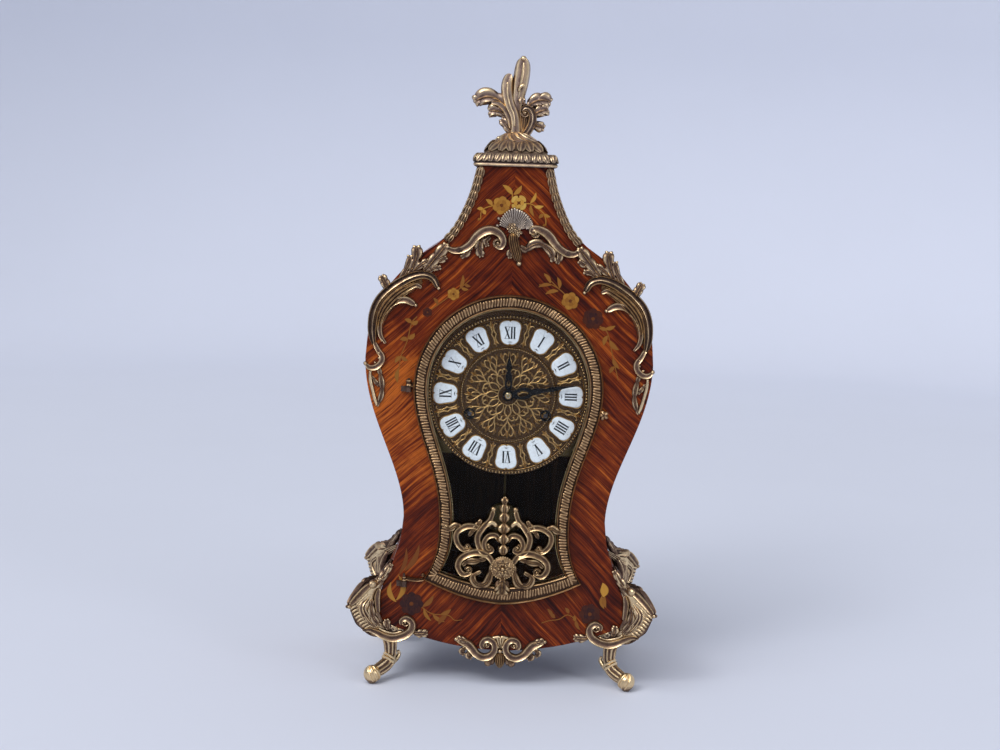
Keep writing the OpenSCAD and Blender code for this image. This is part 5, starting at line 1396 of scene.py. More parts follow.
FINIAL: Strokes = (
    (SCROLL, ((3, 4, 5.4, 0), (0.6, 16, 4.6, 0), (0.2, 26, 4, 0), (0.4, 35, 4.4, 0), (1.2, 44.5, 5.4, 0),
        (2.6, 55.3, 6.3, 0), (3.9, 66, 6.3, 0), (4.4, 73, 5.4, 0), (4.7, 78.4, 3.9, 0.4))),
    (STEM, ((1, 40, 0.9, 1.6), (2.6, 52, 1.6, 2.4), (4.4, 64, 1.7, 2.6), (5, 73.4, 1, 2.4))),
    (SCROLL, ((-1, 3.2, 4.6, 2), (-0.8, 15, 4, 2.4), (-2.4, 24.5, 4, 2.6), (-6.6, 33.9, 4.4, 2.6),
        (-9.4, 44, 4.7, 2.4), (-9.8, 52.8, 4.6, 2.2), (-8.4, 59.2, 3.8, 2.4), (-6.8, 62.6, 2.7, 2.6))),
    (STEM, ((-1.6, 14, 1, 4), (-3, 25, 1.3, 4.4), (-7, 34.4, 1.4, 4.6), (-9.6, 44.6, 1.4, 4.4),
        (-9.4, 55, 1, 4.2))),
    (LEAF, ((-4.6, 19, 2.6, 1.6), (-8, 27, 4, 1.6), (-13, 34.6, 4.8, 1.8), (-19.9, 39.8, 5.6, 1.8),
        (-27.6, 41.2, 5.8, 1.6), (-34, 39.4, 5, 1.6), (-39, 36.6, 3, 2))),
    (SCROLL, ((-4, 12, 2.4, 3), (-6.6, 22, 2.6, 3), (-11, 30, 2.6, 3.4), (-17, 34.8, 2.2, 3.8),
        (-24, 36, 1.8, 4))),
    (LEAF, ((-9, 22, 2.4, 0.6), (-14, 27, 4, 0.8), (-20, 28.6, 4.8, 1), (-26, 28, 3, 1.4))),
    (LEAF, ((-4, 6, 2.6, 1), (-6.4, 11, 3, 1.2), (-10, 16.2, 3.2, 1.4), (-14.4, 21, 2, 1.6))),
    (BAND, ((-1.4, 2.4, 2.6, 3), (8.2, 7.6, 3.7, 3.4), (13.6, 16.2, 4, 3.8), (14.8, 24, 4, 4),
        (12.2, 30, 3.6, 4.2), (7.6, 31.6, 2.9, 4.4), (4.6, 28.4, 2.2, 4.4))),
    (PLUME, ((8, 3, 6.6, -1), (7, 14, 5, -1), (8, 26, 5, -1), (11, 34, 4, -1))),
    (LEAF, ((9, 31, 2.4, 1), (13.6, 36.4, 4.6, 1.2), (20, 39.4, 5.4, 1.4), (26.4, 39.4, 4.2, 1.6),
        (31, 38, 2.6, 1.8))),
    (LEAF, ((13, 25, 2.6, 1), (19.6, 28.6, 4.6, 1.2), (25, 30.6, 4, 1.4), (29, 31.4, 2.2, 1.6))),
    (SMALL_LEAF, ((13, 19, 2.4, 1), (18.6, 16.4, 4, 1.2), (25.8, 14, 2.4, 1.6))),
    (SMALL_LEAF, ((7.6, 34, 1.8, 2), (5, 37.6, 2.6, 3), (4.6, 41, 1.6, 3.4))),
    (STEM, ((8.9, 50, 1.2, 2.4), (6, 52.4, 2, 3.6), (2.4, 50.6, 1.6, 4), (0.8, 46.6, 0.9, 3.6))),
)
LEG = ((-10, 99, 2, 2), (0, 91, 3.4, 3.4), (9, 82, 5, 4), (13.6, 75, 6, 4.6), (9.6, 65, 6, 5),
    (2, 55, 6.4, 5.6), (-7.6, 46, 7.8, 6.4), (-12, 38, 7.4, 6.4), (-13, 30, 6.4, 6), (-12.8, 23, 5.8, 5.8),
    (-10.8, 16.4, 6.4, 6.4), (-5.4, 12.4, 6.6, 6.4), (1, 9.8, 6, 5.6))
STEMS: tuple[Rows, ...] = (((-2, 446), (-2, 452), (-2.4, 456)),
    ((9, 444.8), (15.7, 444.2), (21, 440.8), (27, 436.2)),
    ((-17, 442.6), (-24, 440.4), (-29, 437.2), (-29.7, 429.6)),
    ((27.2, 434.9), (28.5, 430.9), (28.7, 425.8)),
    ((-84, 340.8), (-89, 334.6), (-92.4, 318.8), (-98, 303.6), (-100.5, 281.6)),
    ((-76.6, 344), (-67.1, 351), (-56.8, 358.8), (-45.2, 368.1), (-38, 375)),
    ((51.2, 362), (43, 369), (34, 373.6), (24.4, 372.5)), ((43, 369), (35.5, 376), (28.9, 381.4)),
    ((80.2, 337.3), (87.7, 331), (93.4, 308.6), (99, 288.4)),
    ((-73.6, 73), (-63.5, 66.7), (-48.8, 65.9), (-42.8, 61.3), (-35.7, 62)),
    ((68.7, 65.8), (61, 69.8), (53.5, 65.3), (44.7, 63.8), (37.2, 61.2)))
LEAVES: Rows = ((-2.4, 452.3, -10.9, 460.4, 2.2, 0.68), (-0.9, 452.4, 6, 460.6, 2.1, 0.64),
    (14.2, 445.2, 19, 454.7, 1.7, 0.74), (17.8, 442.5, 26.2, 443, 1.7, 0.8),
    (14.7, 443.7, 17.8, 433.6, 1.6, 0.55), (-19.6, 442.2, -25.5, 447.2, 2, 0.66),
    (-27.4, 438.3, -33.2, 438.6, 1.7, 0.72), (-27, 438.4, -25.3, 434, 1.9, 0.74),
    (26.8, 436, 32.4, 433.6, 1.5, 0.62), (26.8, 435.6, 22.4, 431.8, 1.7, 0.5),
    (28.6, 426.4, 25.8, 424.6, 1.1, 0.5), (-29.7, 430.1, -32.2, 428.3, 1.2, 0.5),
    (-89, 334.6, -95.4, 338, 2, 0.48), (-89, 334, -83.2, 337, 2.1, 0.5),
    (-91.6, 320.3, -86, 325.4, 2.2, 0.5), (-92, 319.5, -99, 319.4, 2.2, 0.46),
    (-97.3, 304.3, -91.6, 300.6, 1.9, 0.46), (-97.3, 304.3, -103, 298, 2, 0.5),
    (-99.8, 293, -100.2, 280, 2, 0.5), (-45.2, 368, -38.6, 366.4, 1.6, 0.5),
    (-46.4, 367.6, -44, 379.4, 1.8, 0.46), (-42.3, 371.2, -36.8, 369.4, 1.5, 0.42),
    (-66, 352, -70, 358, 1.6, 0.42), (42.9, 369.9, 40.6, 380, 1.8, 0.48),
    (34.7, 374.4, 28.4, 383, 1.8, 0.5), (35.6, 372.8, 24, 370.6, 1.7, 0.46),
    (42, 367.6, 30.4, 364.4, 1.9, 0.5), (85, 335, 94.4, 338, 1.9, 0.52),
    (86.8, 333.4, 79.8, 335, 1.8, 0.48), (87.8, 328.8, 84.6, 319.6, 2.1, 0.5),
    (89.6, 324.8, 98.6, 316, 2.3, 0.48), (93.4, 308.8, 99.8, 299, 1.9, 0.46),
    (95.2, 301, 91, 294.6, 1.9, 0.44), (-97, 77, -102, 95.6, 2.5, 0.66, -0.2),
    (-97, 78.4, -95.6, 102.4, 2.6, 0.62, 0.24), (-72.6, 73.4, -62.8, 84, 2.3, 0.42),
    (-71.4, 71.4, -64.2, 60, 1.7, 0.5), (-62.9, 66.2, -51.8, 59.6, 2, 0.46),
    (-56, 66.3, -46.2, 71.8, 2.1, 0.44), (-50, 65.4, -57.4, 57, 2.4, 0.38),
    (-90, 106.4, -77, 131.4, 2.6, 0.36), (-95, 103, -88.8, 128, 2, 0.34), (93.2, 87.6, 92.2, 101, 4, 0.74),
    (92, 88.4, 94.4, 76.4, 2.1, 0.5), (94.6, 88.4, 96.2, 77.4, 2, 0.46),
    (67.4, 69.4, 69.2, 63.4, 1.7, 0.46), (62, 71, 58.6, 76.4, 1.7, 0.42), (46.2, 71.1, 50, 66.4, 1.9, 0.4),
    (47, 67, 42.2, 75, 1.7, 0.4), (68.8, 65.4, 73, 55.8, 1.7, 0.42))
FLOWERS: Rows = ((-11.3, 442.4, 8.2, 0.6, 6, 10), (4, 445, 7.4, 0.84, 4, 40), (-52, 362, 5.6, 0.6, 6, 0),
    (-75, 344.8, 4.4, 0.12, 6, 0), (53, 359, 8, 0.56, 6, 15), (74, 343.6, 9.6, 0.1, 7, 0),
    (-82.8, 75.7, 11, 0.0, 8, 0), (81.5, 71, 10, 0.08, 7, 10))


@dataclass
class Case:
    """The veneered case: its front board and its two curved sides."""

    bevel: float = 0.7
    hole: float = 12.0
    gap: float = 0.02
    counts: tuple[int, ...] = (30, 30, 40, 50, 8)

    def front(self) -> None:
        """The front board with the door's opening."""
        p = PLAN
        half = np.vstack([apron_half(), EDGE, [[0, p.neck_z]]])
        outer = ring_of(matched(half, ((0, p.corner_z - p.apron_drop), (p.base_w / 2, p.corner_z),
                                       (p.waist_w / 2, p.waist_z), (p.shoulder_w / 2, p.shoulder_z),
                                       (p.neck_w / 2, p.neck_z), (0, p.neck_z)), self.counts))
        door = door_half(self.hole)
        r = p.door_r - self.hole
        inner = ring_of(matched(door, (door[0], door[32], door[64], (r, p.door_z),
                                       (r * math.cos(1.1), p.door_z + r * math.sin(1.1)), door[-1]),
                                self.counts))
        shell = Shell()
        shell.body(((outer, p.board_back, 0.5), (outer, p.front + self.bevel, 0.5),
                    (shifted(outer, self.bevel), p.front, 0.5), (shifted(inner, -0.4), p.front, 0.5),
                    (inner, p.front + 0.4, 0.5), (inner, p.board_back, 0.5)), ring=True)
        settle(shell.piece("front_veneer", Veneer(), 30), "front_board", slot=Slot.VENEER)

    def sides(self) -> None:
        """Both curved sides."""
        p = PLAN
        edge = spaced(EDGE, 140)
        inner = edge - p.side_t * beside(unit(np.gradient(edge, axis=0)))
        inner[:, 1] = np.clip(inner[:, 1], p.corner_z, p.neck_z)
        front, back = p.board_back + self.gap, low("back_board", Axis.Y) - self.gap
        depths = (front, front + 20, (front + back) / 2, back - 20, back)
        ring = [(edge, y) for y in depths] + [(inner, back), (inner, front)]
        shell = Shell()
        shell.grid(np.stack([at_depth(line, y) for line, y in ring], 1), 0.5, around=True, capped=True)
        settle(shell.mirror().piece("side_veneer", Veneer(fold=Axis.Y), 40), "case_sides", slot=Slot.VENEER)

    def build(self) -> None:
        """Makes the case."""
        self.front()
        self.sides()


@dataclass
class Door:
    """The glazed front door: ribbed bezel, hinge, knob and fret."""

    face: float = PLAN.frame_back - 5.0
    hinge_x: float = -(PLAN.door_r + 4)
    hinge_y: float = PLAN.frame_back - 3.4
    rib_step: float = 2.6
    rib_inset: float = 6.4
    rib_seed: int = 5
    rib_sizes: Rows = ((0.7, 1.25), (0.6, 1.15), (0.8, 1.04))
    knob_drop: float = 20.0
    knuckle: Rows = ((0, 2), (0.3, 2.8), (1.6, 2.8), (2, 2.4), (4, 2.4), (4.4, 2.8), (5.7, 2.8), (6, 2))

    def bezel(self) -> None:
        """The moulded frame with its hinge and knob."""
        back, face, glass = PLAN.frame_back, self.face, PLAN.glass_front - 0.05
        # Rows of inset, depth and shade; the shade is painted shade along the moulding, dark in its grooves
        # and light on its beads.
        rows = ((0, back, 0.1), (0, face, 0.3), (0.25, face - 1.5, 0.85), (0.95, PLAN.frame_front, 1.0),
                (1.65, face - 1.5, 0.8), (2.05, face - 0.1, 0.2), (2.7, face - 0.1, 0.3),
                (4.2, face - 0.8, 0.5), (6.4, face - 1.05, 0.55), (8.6, face - 0.8, 0.5),
                (10.2, face - 0.1, 0.25),
                (10.7, face - 0.1, 0.2), (11.0, face - 1.2, 0.8), (11.7, face - 1.9, 1.0),
                (12.4, face - 1.3, 0.9), (13, face + 0.6, 0.5), (13, glass, 0.1), (10.8, glass, 0.0),
                (10.8, back, 0.0))
        shell = Relief(on_front(self.hinge_y + 1.6))
        shell.body([(ring_of(door_half(i)), y, s) for i, y, s in rows], ring=True)
        self.hinge(shell)
        shell.lathe(((0, 3.0), (1.6, 3.0), (2.4, 4.4), (4.0, 4.9), (5.4, 4.2), (6.1, 2.6), (6.6, 1.2)),
                    (PLAN.door_r + 0.5, PLAN.frame_back - 0.6, PLAN.door_z - self.knob_drop), Axis.Y,
                    (0.1, 0.3, 0.6, 0.9, 1, 1, 1), sides=40, lobes=5, depth=0.3)
        settle(shell.piece("bezel", DOOR_BRONZE), "door_bezel", body=Body.FRONT_DOOR)

    def hinge(self, shell: Relief) -> None:
        """Adds the knuckles and the curled arms that reach the door.

        Args:
            shell: Where they go.
        """
        p, x = PLAN, self.hinge_x
        arm_low = p.corner_z + p.door_corner_rise - 2
        for z, reach, size in ((p.door_z + 1, 8.0, 1.0), (arm_low, p.door_r + 8 - p.door_corner_w / 2, 0.7)):
            shell.lathe([(size * h, size * r) for h, r in self.knuckle], (x, self.hinge_y, z), Axis.Z,
                        (0.3, 0.9, 0.9, 0.4, 0.4, 0.9, 0.9, 0.3), sides=20)
            rows = [(x + 1.5 + (reach - 1.5) * t, z + 2.4 - 1.4 * math.sin(math.pi * t),
                     size * (2.2 - 0.6 * t), 0.4) for t in (0, 0.3, 0.6, 1)]
            shell.lay(SCROLL, rows, thick=1.2, sink=1.5)
            shell.volute(x + 0.8 * reach, z + 5.4, 2.8 * size, start=-60)

    def ribs(self) -> None:
        """The ribs across the frame's band."""
        loop = ring_of(door_half(self.rib_inset, 8))
        spots = spaced(loop, int(travel(np.vstack([loop, loop[:1]]))[-1] / self.rib_step), closed=True)
        out = spots - shifted(spots, 1.0)
        pattern = Relief(on_front(0))
        rows = [(0, v, w) for v, w in ((-3.9, 0.5), (-3.4, 1.0), (-1.8, 1.2), (0.2, 1.08), (2.2, 1.24),
                                       (3.5, 1.0), (4.0, 0.5))]
        pattern.strip(rows, RIDGE_CUT, thick=0.95, steps=1, sink=0.5, rounded=False)
        rng = np.random.default_rng(self.rib_seed)
        sizes = np.stack([rng.uniform(*span, len(spots)) for span in self.rib_sizes], 1)
        turns = np.arctan2(out[:, 0], out[:, 1]) + rng.normal(0.2, 0.1, len(spots))
        hosts = at_depth(spots, self.face - 0.55)
        settle(Repeater.spread("bezel_ribs", pattern, DOOR_BRONZE, hosts, turns, sizes), body=Body.FRONT_DOOR)

    def fret(self) -> None:
        """The fret over the lower glass."""
        z = PLAN.fret_z
        shell = Relief(on_front(PLAN.frame_front))
        shell.draw(FRET, dz=z, sink=0.8, wide=1.45)
        shell.pearl(10, z + 52, 2.6)
        for x, rise, r, start, hand in ((13, 17, 3.4, 90, -1), (33, 17, 3.6, 0, -1), (31, -5, 3.6, 0, 1)):
            shell.volute(x, z + rise, r, start, hand)
        shell.mirror()
        self.spine(shell, z)
        settle(shell.piece("fret", FRET_GOLD), "door_fret", body=Body.FRONT_DOOR)

    def spine(self, shell: Relief, z: float) -> None:
        """Adds the middle: bud, husks, boss and lower drop.

        Args:
            shell: Where it goes.
            z: Height of the boss.
        """
        for top, half in ((57, 3.6), (49, 5), (39, 6), (29, 5.2), (19, 4.4)):
            shell.lay(HUSK, ((0, top - 9, 2, 1), (0, top - 5.6, half, 1.6), (0, top - 1.6, half * 0.9, 1.8),
                             (0, top + 1.5, 1, 1)), dz=z, thick=0.6)
            for side in (-1, 1):
                shell.lay(HUSK, ((0, top - 9, 1, 0.6), (side * 2.2, top - 5, half * 0.5, 1),
                                 (side * 4.4, top - 1, 0.4, 1)), dz=z)
        shell.lay(SMALL_LEAF, ((0, 55, 1.4, 1), (0, 59, 2.6, 1.4), (0, 64, 0.5, 1)), dz=z)
        shell.pearl(0, z - 2, 10.8, 0.22, 0.4, sides=32)
        shell.rosette(0, z - 2, 8.6, 8, 1.6)
        for a in 2 * np.pi * np.arange(30) / 30:
            shell.pearl(10.2 * math.sin(a), z - 2 + 10.2 * math.cos(a), 1, 1.0, 0.9, sides=8)
        shell.lay(LEAF, ((0, -11, 4, 1), (0, -16, 5.6, 1.6), (0, -22, 4.4, 1.4), (0, -27, 1.6, 0.8)), dz=z)

    def build(self) -> None:
        """Makes the door."""
        self.bezel()
        self.ribs()
        self.fret()


@dataclass
class Dial:
    """The pressed dial: ornament, rings, plaques and numerals."""

    plaque_half_w: float = 9.75
    plaque_half_l: float = 11.0
    plaque_h: float = 1.4
    numeral_h: float = 10.8
    numeral_w: float = 11.4
    numeral_lift: float = 1.46
    thin: float = 0.24
    serif: float = 0.14
    turned: Rows = ((70.4, 73.0, 0.9), (68.9, 69.6, 0.6), (43.6, 44.3, 0.7), (40.9, 41.5, 0.7),
                    (7.4, 9.6, 0.9), (19.2, 19.8, 0.5))
    outline: Rows = ((0, -0.9), (0.16, -0.98), (0.5, -0.9), (0.76, -0.66), (0.86, -0.3), (0.93, 0.1),
        (1, 0.42), (0.9, 0.74), (0.6, 0.94), (0.18, 1), (0, 0.9))
    motif: Strokes = (
        (STEM, ((0.5, 9, 0.5), (2.6, 13, 0.7), (2.6, 17, 0.75), (0.3, 20.5, 0.75), (0.6, 25, 0.7),
            (3.4, 29, 0.8), (5.6, 33, 0.8), (4.6, 37, 0.7), (2.6, 37.4, 0.6), (2.2, 35.6, 0.5))),
        (STEM, ((0.3, 20, 0.6), (2.6, 23, 0.7), (5.2, 23.4, 0.7), (5.8, 21, 0.6), (4.4, 20, 0.45))),
        (STEM, ((1.6, 27, 0.5), (1.8, 31, 0.7), (0.4, 34, 0.5))),
        (HUSK, ((0.2, 33, 0.4), (0.1, 36, 1.5), (0, 40.4, 0.3))),
        (HUSK, ((5.4, 32, 0.4), (7.2, 35, 1.1), (7.6, 38.6, 0.3))),
        (HUSK, ((3.4, 28.6, 0.4), (5.6, 27.6, 0.9), (7.4, 28.4, 0.3))),
    )
    between: Strokes = (
        (STEM, ((2.4, 47.4, 0.5), (1.0, 50, 0.7), (0.8, 54, 0.8), (2.0, 57, 0.8), (0.9, 60, 0.8),
            (1.4, 64.5, 0.7), (3.6, 66.6, 0.7), (5.0, 65.4, 0.5))),
        (HUSK, ((0.1, 62, 0.4), (0.1, 66, 1.4), (0, 70, 0.3))),
        (HUSK, ((0.1, 52, 0.4), (0.1, 48.4, 1.1), (0, 45.4, 0.3))),
    )

    def repeat(self, name: str, pattern: Shell, finish: Finish = PRESSED, *nodes: str,
               offset: float = 0.0) -> None:
        """Repeats a pattern twelve times round the dial's centre.

        Args:
            name: The new piece's name.
            pattern: The pattern, with the dial's centre at its origin.
            finish: What it is dressed in.
            *nodes: Frame nodes that it stands for.
            offset: Turn of the first copy, in radians.
        """
        turns = 2 * np.pi * (np.arange(12) / 12) + offset
        spots = np.tile((0.0, PLAN.board_back, PLAN.dial_z), (12, 1))
        slot = Slot.DIAL if finish is PRESSED else Slot.ENAMEL
        settle(Repeater.spread(name, pattern, finish, spots, turns), *nodes, slot=slot)

    def ornament(self) -> None:
        """The motif of each hour and the scrolls between the plaques."""
        for name, strokes, offset in (("dial_motifs", self.motif, 0.0),
                                      ("dial_scrolls", self.between, math.pi / 12)):
            pattern = Relief(on_front(0))
            pattern.draw(strokes, thick=1.1, sink=0.2)
            self.repeat(name, pattern.mirror(), offset=offset)

    def rings(self) -> None:
        """Turned rings, the beaded ring and the notched rim."""
        shell = Shell()
        a = np.linspace(0, 2 * np.pi, 192, endpoint=False)
        circle = np.stack([np.cos(a), np.sin(a)], 1)
        for inner, outer, height in self.turned:
            # Painted shade: each ring is dark at its foot and light on its crest.
            shell.body([(r * circle + (0, PLAN.dial_z), PLAN.board_back - h, s)
                        for r, h, s in ((inner, -0.2, 0.2), (inner + 0.1, height * 0.7, 0.6),
                                        ((inner + outer) / 2, height, 1.0), (outer - 0.1, height * 0.7, 0.6),
                                        (outer, -0.2, 0.2))], ring=True)
        settle(shell.piece("dial_rings", PRESSED), slot=Slot.DIAL)
        for name, radius, count, length, width in (("dial_beads", 42.55, 120, 0.62, 0.62),
                                                   ("dial_dashes", 71.7, 150, 1.15, 0.7)):
            pattern = Relief(on_front(0))
            pattern.strip([(0, length * v, width * w) for v, w in ((-1, 0.5), (-0.5, 1), (0.5, 1), (1, 0.5))],
                          RIDGE_CUT, thick=1.0, steps=1, sink=0.3, rounded=False)
            a = 2 * np.pi * np.arange(count) / count
            spots = at_depth(np.stack([radius * np.sin(a), PLAN.dial_z + radius * np.cos(a)], 1),
                             PLAN.board_back - 0.55)
            settle(Repeater.spread(name, pattern, PRESSED, spots, a), slot=Slot.DIAL)

    def plaque(self, sections: Rows, ring: bool) -> Shell:
        """A body that follows a plaque's outline.

        Args:
            sections: Rows of growth, height and shade.
            ring: Whether it is a frame, not a plate.

        Returns:
            The body, with the dial's centre at its origin.
        """
        half = smooth([(x * self.plaque_half_w, z * self.plaque_half_l) for x, z in self.outline], 6)
        shell = Shell()
        shell.body([(shifted(ring_of(half), -grow) + (0, PLAN.plaque_ring), -y, shade)
                    for grow, y, shade in sections], ring)
        return shell

    def plaques(self) -> None:
        """Domed enamel plaques, each in a gold rim."""
        top = self.plaque_h
        plate = self.plaque(((0, 0.02, 0.0), (0, top - 0.5, 0.1), (-0.25, top - 0.15, 0.35), (-0.8, top, 0.8),
                             (-2.2, top, 1.0)), False)
        rim = self.plaque(((0.05, -0.1, 0.2), (0.15, 1.0, 0.8), (0.6, 1.35, 1.2), (1.05, 1.0, 0.8),
                           (1.2, -0.1, 0.1)), True)
        self.repeat("plaques", plate, Enamel(), "numeral_plaques")
        self.repeat("plaque_rims", rim)

    def numeral(self, shell: Relief, text: str, hour: int) -> None:
        """Adds one numeral: thick and thin strokes between joined serifs.

        Args:
            shell: Where the strokes go.
            text: The numeral's letters.
            hour: Its hour, which gives its place.
        """
        widths = {"I": 2.5, "V": 5.4, "X": 5.4}
        total = sum(widths[c] for c in text)
        squeeze = min(1.0, self.numeral_w / total)
        turn = 2 * math.pi * hour / 12
        top = self.numeral_h / 2

        def place(u: Array, v: Array, h: Array) -> Array:
            """Places points on the hour's plaque.

            Args:
                u: How far each is to the right of its middle.
                v: How far each is above its middle.
                h: Height of each above it.

            Returns:
                The points.
            """
            r = v + PLAN.plaque_ring
            x = u * math.cos(turn) + r * math.sin(turn)
            z = r * math.cos(turn) - u * math.sin(turn)
            return np.stack([x, PLAN.board_back - h, z + PLAN.dial_z], -1)

        def bar(x: float, z: float, end_x: float, end_z: float, width: float) -> None:
            """Adds one straight stroke."""
            ends = ((x, z, width, self.numeral_lift), (end_x, end_z, width, self.numeral_lift))
            shell.strip(ends, FLAT_CUT, steps=1, sink=-1.3, rounded=False)

        shell.place = place
        x = -total * squeeze / 2
        thick = squeeze**0.5
        for c in text:
            w = widths[c] * squeeze
            mid, reach = x + w / 2, w * 0.36
            if c == "I":
                bar(mid, -top, mid, top, 0.72 * thick)
            elif c == "V":
                bar(mid - reach, top, mid + 0.1, -top, 0.74 * thick)
                bar(mid + reach, top, mid + 0.1, -top, self.thin)
            else:
                bar(mid - reach, top, mid + reach, -top, 0.74 * thick)
                bar(mid + reach, top, mid - reach, -top, self.thin)
            x += w
        for z in (-top, top):
            bar(-total * squeeze / 2, z, total * squeeze / 2, z, self.serif)

    def numerals(self) -> None:
        """The twelve numerals."""
        shell = Relief(on_front(0))
        texts = ("XII", "I", "II", "III", "IIII", "V", "VI", "VII", "VIII", "IX", "X", "XI")
        for hour, text in enumerate(texts):
            self.numeral(shell, text, hour)
        settle(shell.piece("numerals", Ink(), 30), slot=Slot.ENAMEL)

    def build(self) -> None:
        """Makes the dial."""
        self.ornament()
        self.rings()
        self.plaques()
        self.numerals()


@dataclass
class Mounts:
    """The cast mounts on the front board."""

    crest_rise: float = 0.65
    neck_share: float = 0.62
    neck_inset: float = 4.2
    husk_step: float = 6.6
    husk: Rows = ((-0.6, 0.2, 0.3, 0.3), (2.6, 1.8, 1, 0.8), (6.4, 2.3, 0.8, 0.5), (9, 1.9, 0.2, 0))
    apron_fall: float = 26.0

    def neck(self) -> None:
        """Chains of overlapping husks down the edges of the neck."""
        p = PLAN
        shell = Relief(on_front(p.front))
        z = np.linspace(p.neck_z - 1, p.shoulder_z + self.neck_share * (p.neck_z - p.shoulder_z), 60)
        line = np.stack([case_x(z) - self.neck_inset, z], 1)
        spots = spaced(line, int(travel(line)[-1] / self.husk_step) + 1)
        for spot, after in zip(spots, spots[1:]):
            down = (after - spot) / self.husk_step
            out = np.array((-down[1], down[0]))
            for side, half, lift in ((-1, 1.7, 0.5), (1, 1.7, 0.5), (0, 1.9, 1.2)):
                shell.lay(HUSK, [(*(spot + down * t + out * side * s), half * w, lift + rise)
                                 for t, s, w, rise in self.husk])
        settle(shell.mirror().piece("neck_husks", BRONZE), "neck_mounts")

    def crest(self) -> None:
        """Scrolls, leaves and flowers below the neck."""
        p = PLAN
        z = p.shoulder_z + self.crest_rise * (p.neck_z - p.shoulder_z)
        shell = Relief(on_front(p.front))
        shell.draw(CREST, dz=z)
        shell.volute(-13.6, z - 7, 4.2, start=-90, hand=-1, lift=2.2)
        shell.volute(20, z + 3.2, 4.2, start=200, lift=2.6)
        for x, rise, r in ((-62.6, -11.4, 2), (5.8, -25, 2.6), (61.4, -10, 2)):
            shell.pearl(x, z + rise, r, 1.1, 1.0)
        shell.rosette(-1.5, z + 6.5, 4.8, 6, 3.6)
        shell.rosette(4, z + 2.6, 4, 5, 4.2)
        for x, rise in ((-47.9, -14.2), (48.9, -14.8)):
            shell.lathe(((0, 2.6), (0.5, 2.6), (0.9, 2.1), (0.6, 0.4)), (x, p.front - 3.0, z + rise), Axis.Y,
                        (0.0, 0.05, 0.0, 0.0), sides=20)
        settle(shell.piece("crest", BRONZE), "crest_mount")
        self.crest_fan(z)

    def crest_fan(self, z: float) -> None:
        """The greyer fluted fan of the crest.

        Args:
            z: Height of the crest's middle.
        """
        ribs = Relief(on_front(PLAN.front))
        ribs.fan((0.5, z + 4), (-68, 0), lambda t: 14.5 + 6.5 * t, 10, 3, 3.4, 0.8)
        ribs.fan((0.5, z + 4), (7, 72), lambda t: 20 - 1.6 * t, 10, 3, 3.4, 0.6)
        ribs.fan((9, z + 6), (20, 84), lambda t: 11 - 2 * t, 8, 2, 3, 2.2)
        for x, rise in ((-13.4, 14.4), (-14.4, 8)):
            ribs.pearl(x, z + rise, 1.7, 1.0, 0.8)
        settle(ribs.piece("crest_fan", SHELL_GREY))

    def shoulders(self) -> None:
        """The large leafy scrolls at the case's shoulders."""
        x, z = PLAN.shoulder_w / 2, PLAN.shoulder_z
        shell = Relief(on_front(PLAN.front))
        shell.draw(SHOULDER, x, z)
        for dx, dz, r in ((-0.4, -6, 2), (-71.4, 102.6, 2), (-64.6, 63.8, 1.8), (-44.4, 48, 1.8)):
            shell.pearl(x + dx, z + dz, r, 1.2, 1.0)
        for dx, dz in ((-62, 88), (-65, 96), (-69, 90), (-12.6, -1), (-12.4, 4), (-9, -5)):
            shell.pearl(x + dx, z + dz, 1.2, 1.0, 1.4, sides=10)
        settle(shell.mirror().piece("shoulders", BRONZE), "shoulder_mounts")

    def apron(self) -> None:
        """The shell and scrolls on the lower edge."""
        z = PLAN.corner_z - self.apron_fall
        shell = Relief(on_front(PLAN.front))
        shell.draw(APRON, dz=z)
        shell.volute(12.6, z + 4.6, 3.6, start=-60, lift=1.4)
        shell.pearl(41, z + 8.8, 1.8, 1.0, 1.0)
        shell.mirror()
        shell.fan((0, z - 2), (-38, 38), lambda t: 12.6 + 1.6 * math.sin(math.pi * t), 7, 3, 2.6, 0.6)
        for x, rise, r in ((-2.2, 3, 1.5), (2.2, 3, 1.5), (0, -1, 2)):
            shell.pearl(x, z + rise, r, 1.1, 2.6)
        shell.lay(PLUME, ((0, -2, 3, 1.4), (0, -7, 4.4, 1.2), (0, -12, 4.2, 1), (0, -17.4, 1.8, 0.8)), dz=z)
        settle(shell.piece("apron_shell", BRONZE), "apron_mount")

    def build(self) -> None:
        """Makes the mounts."""
        self.neck()
        self.crest()
        self.shoulders()
        self.apron()


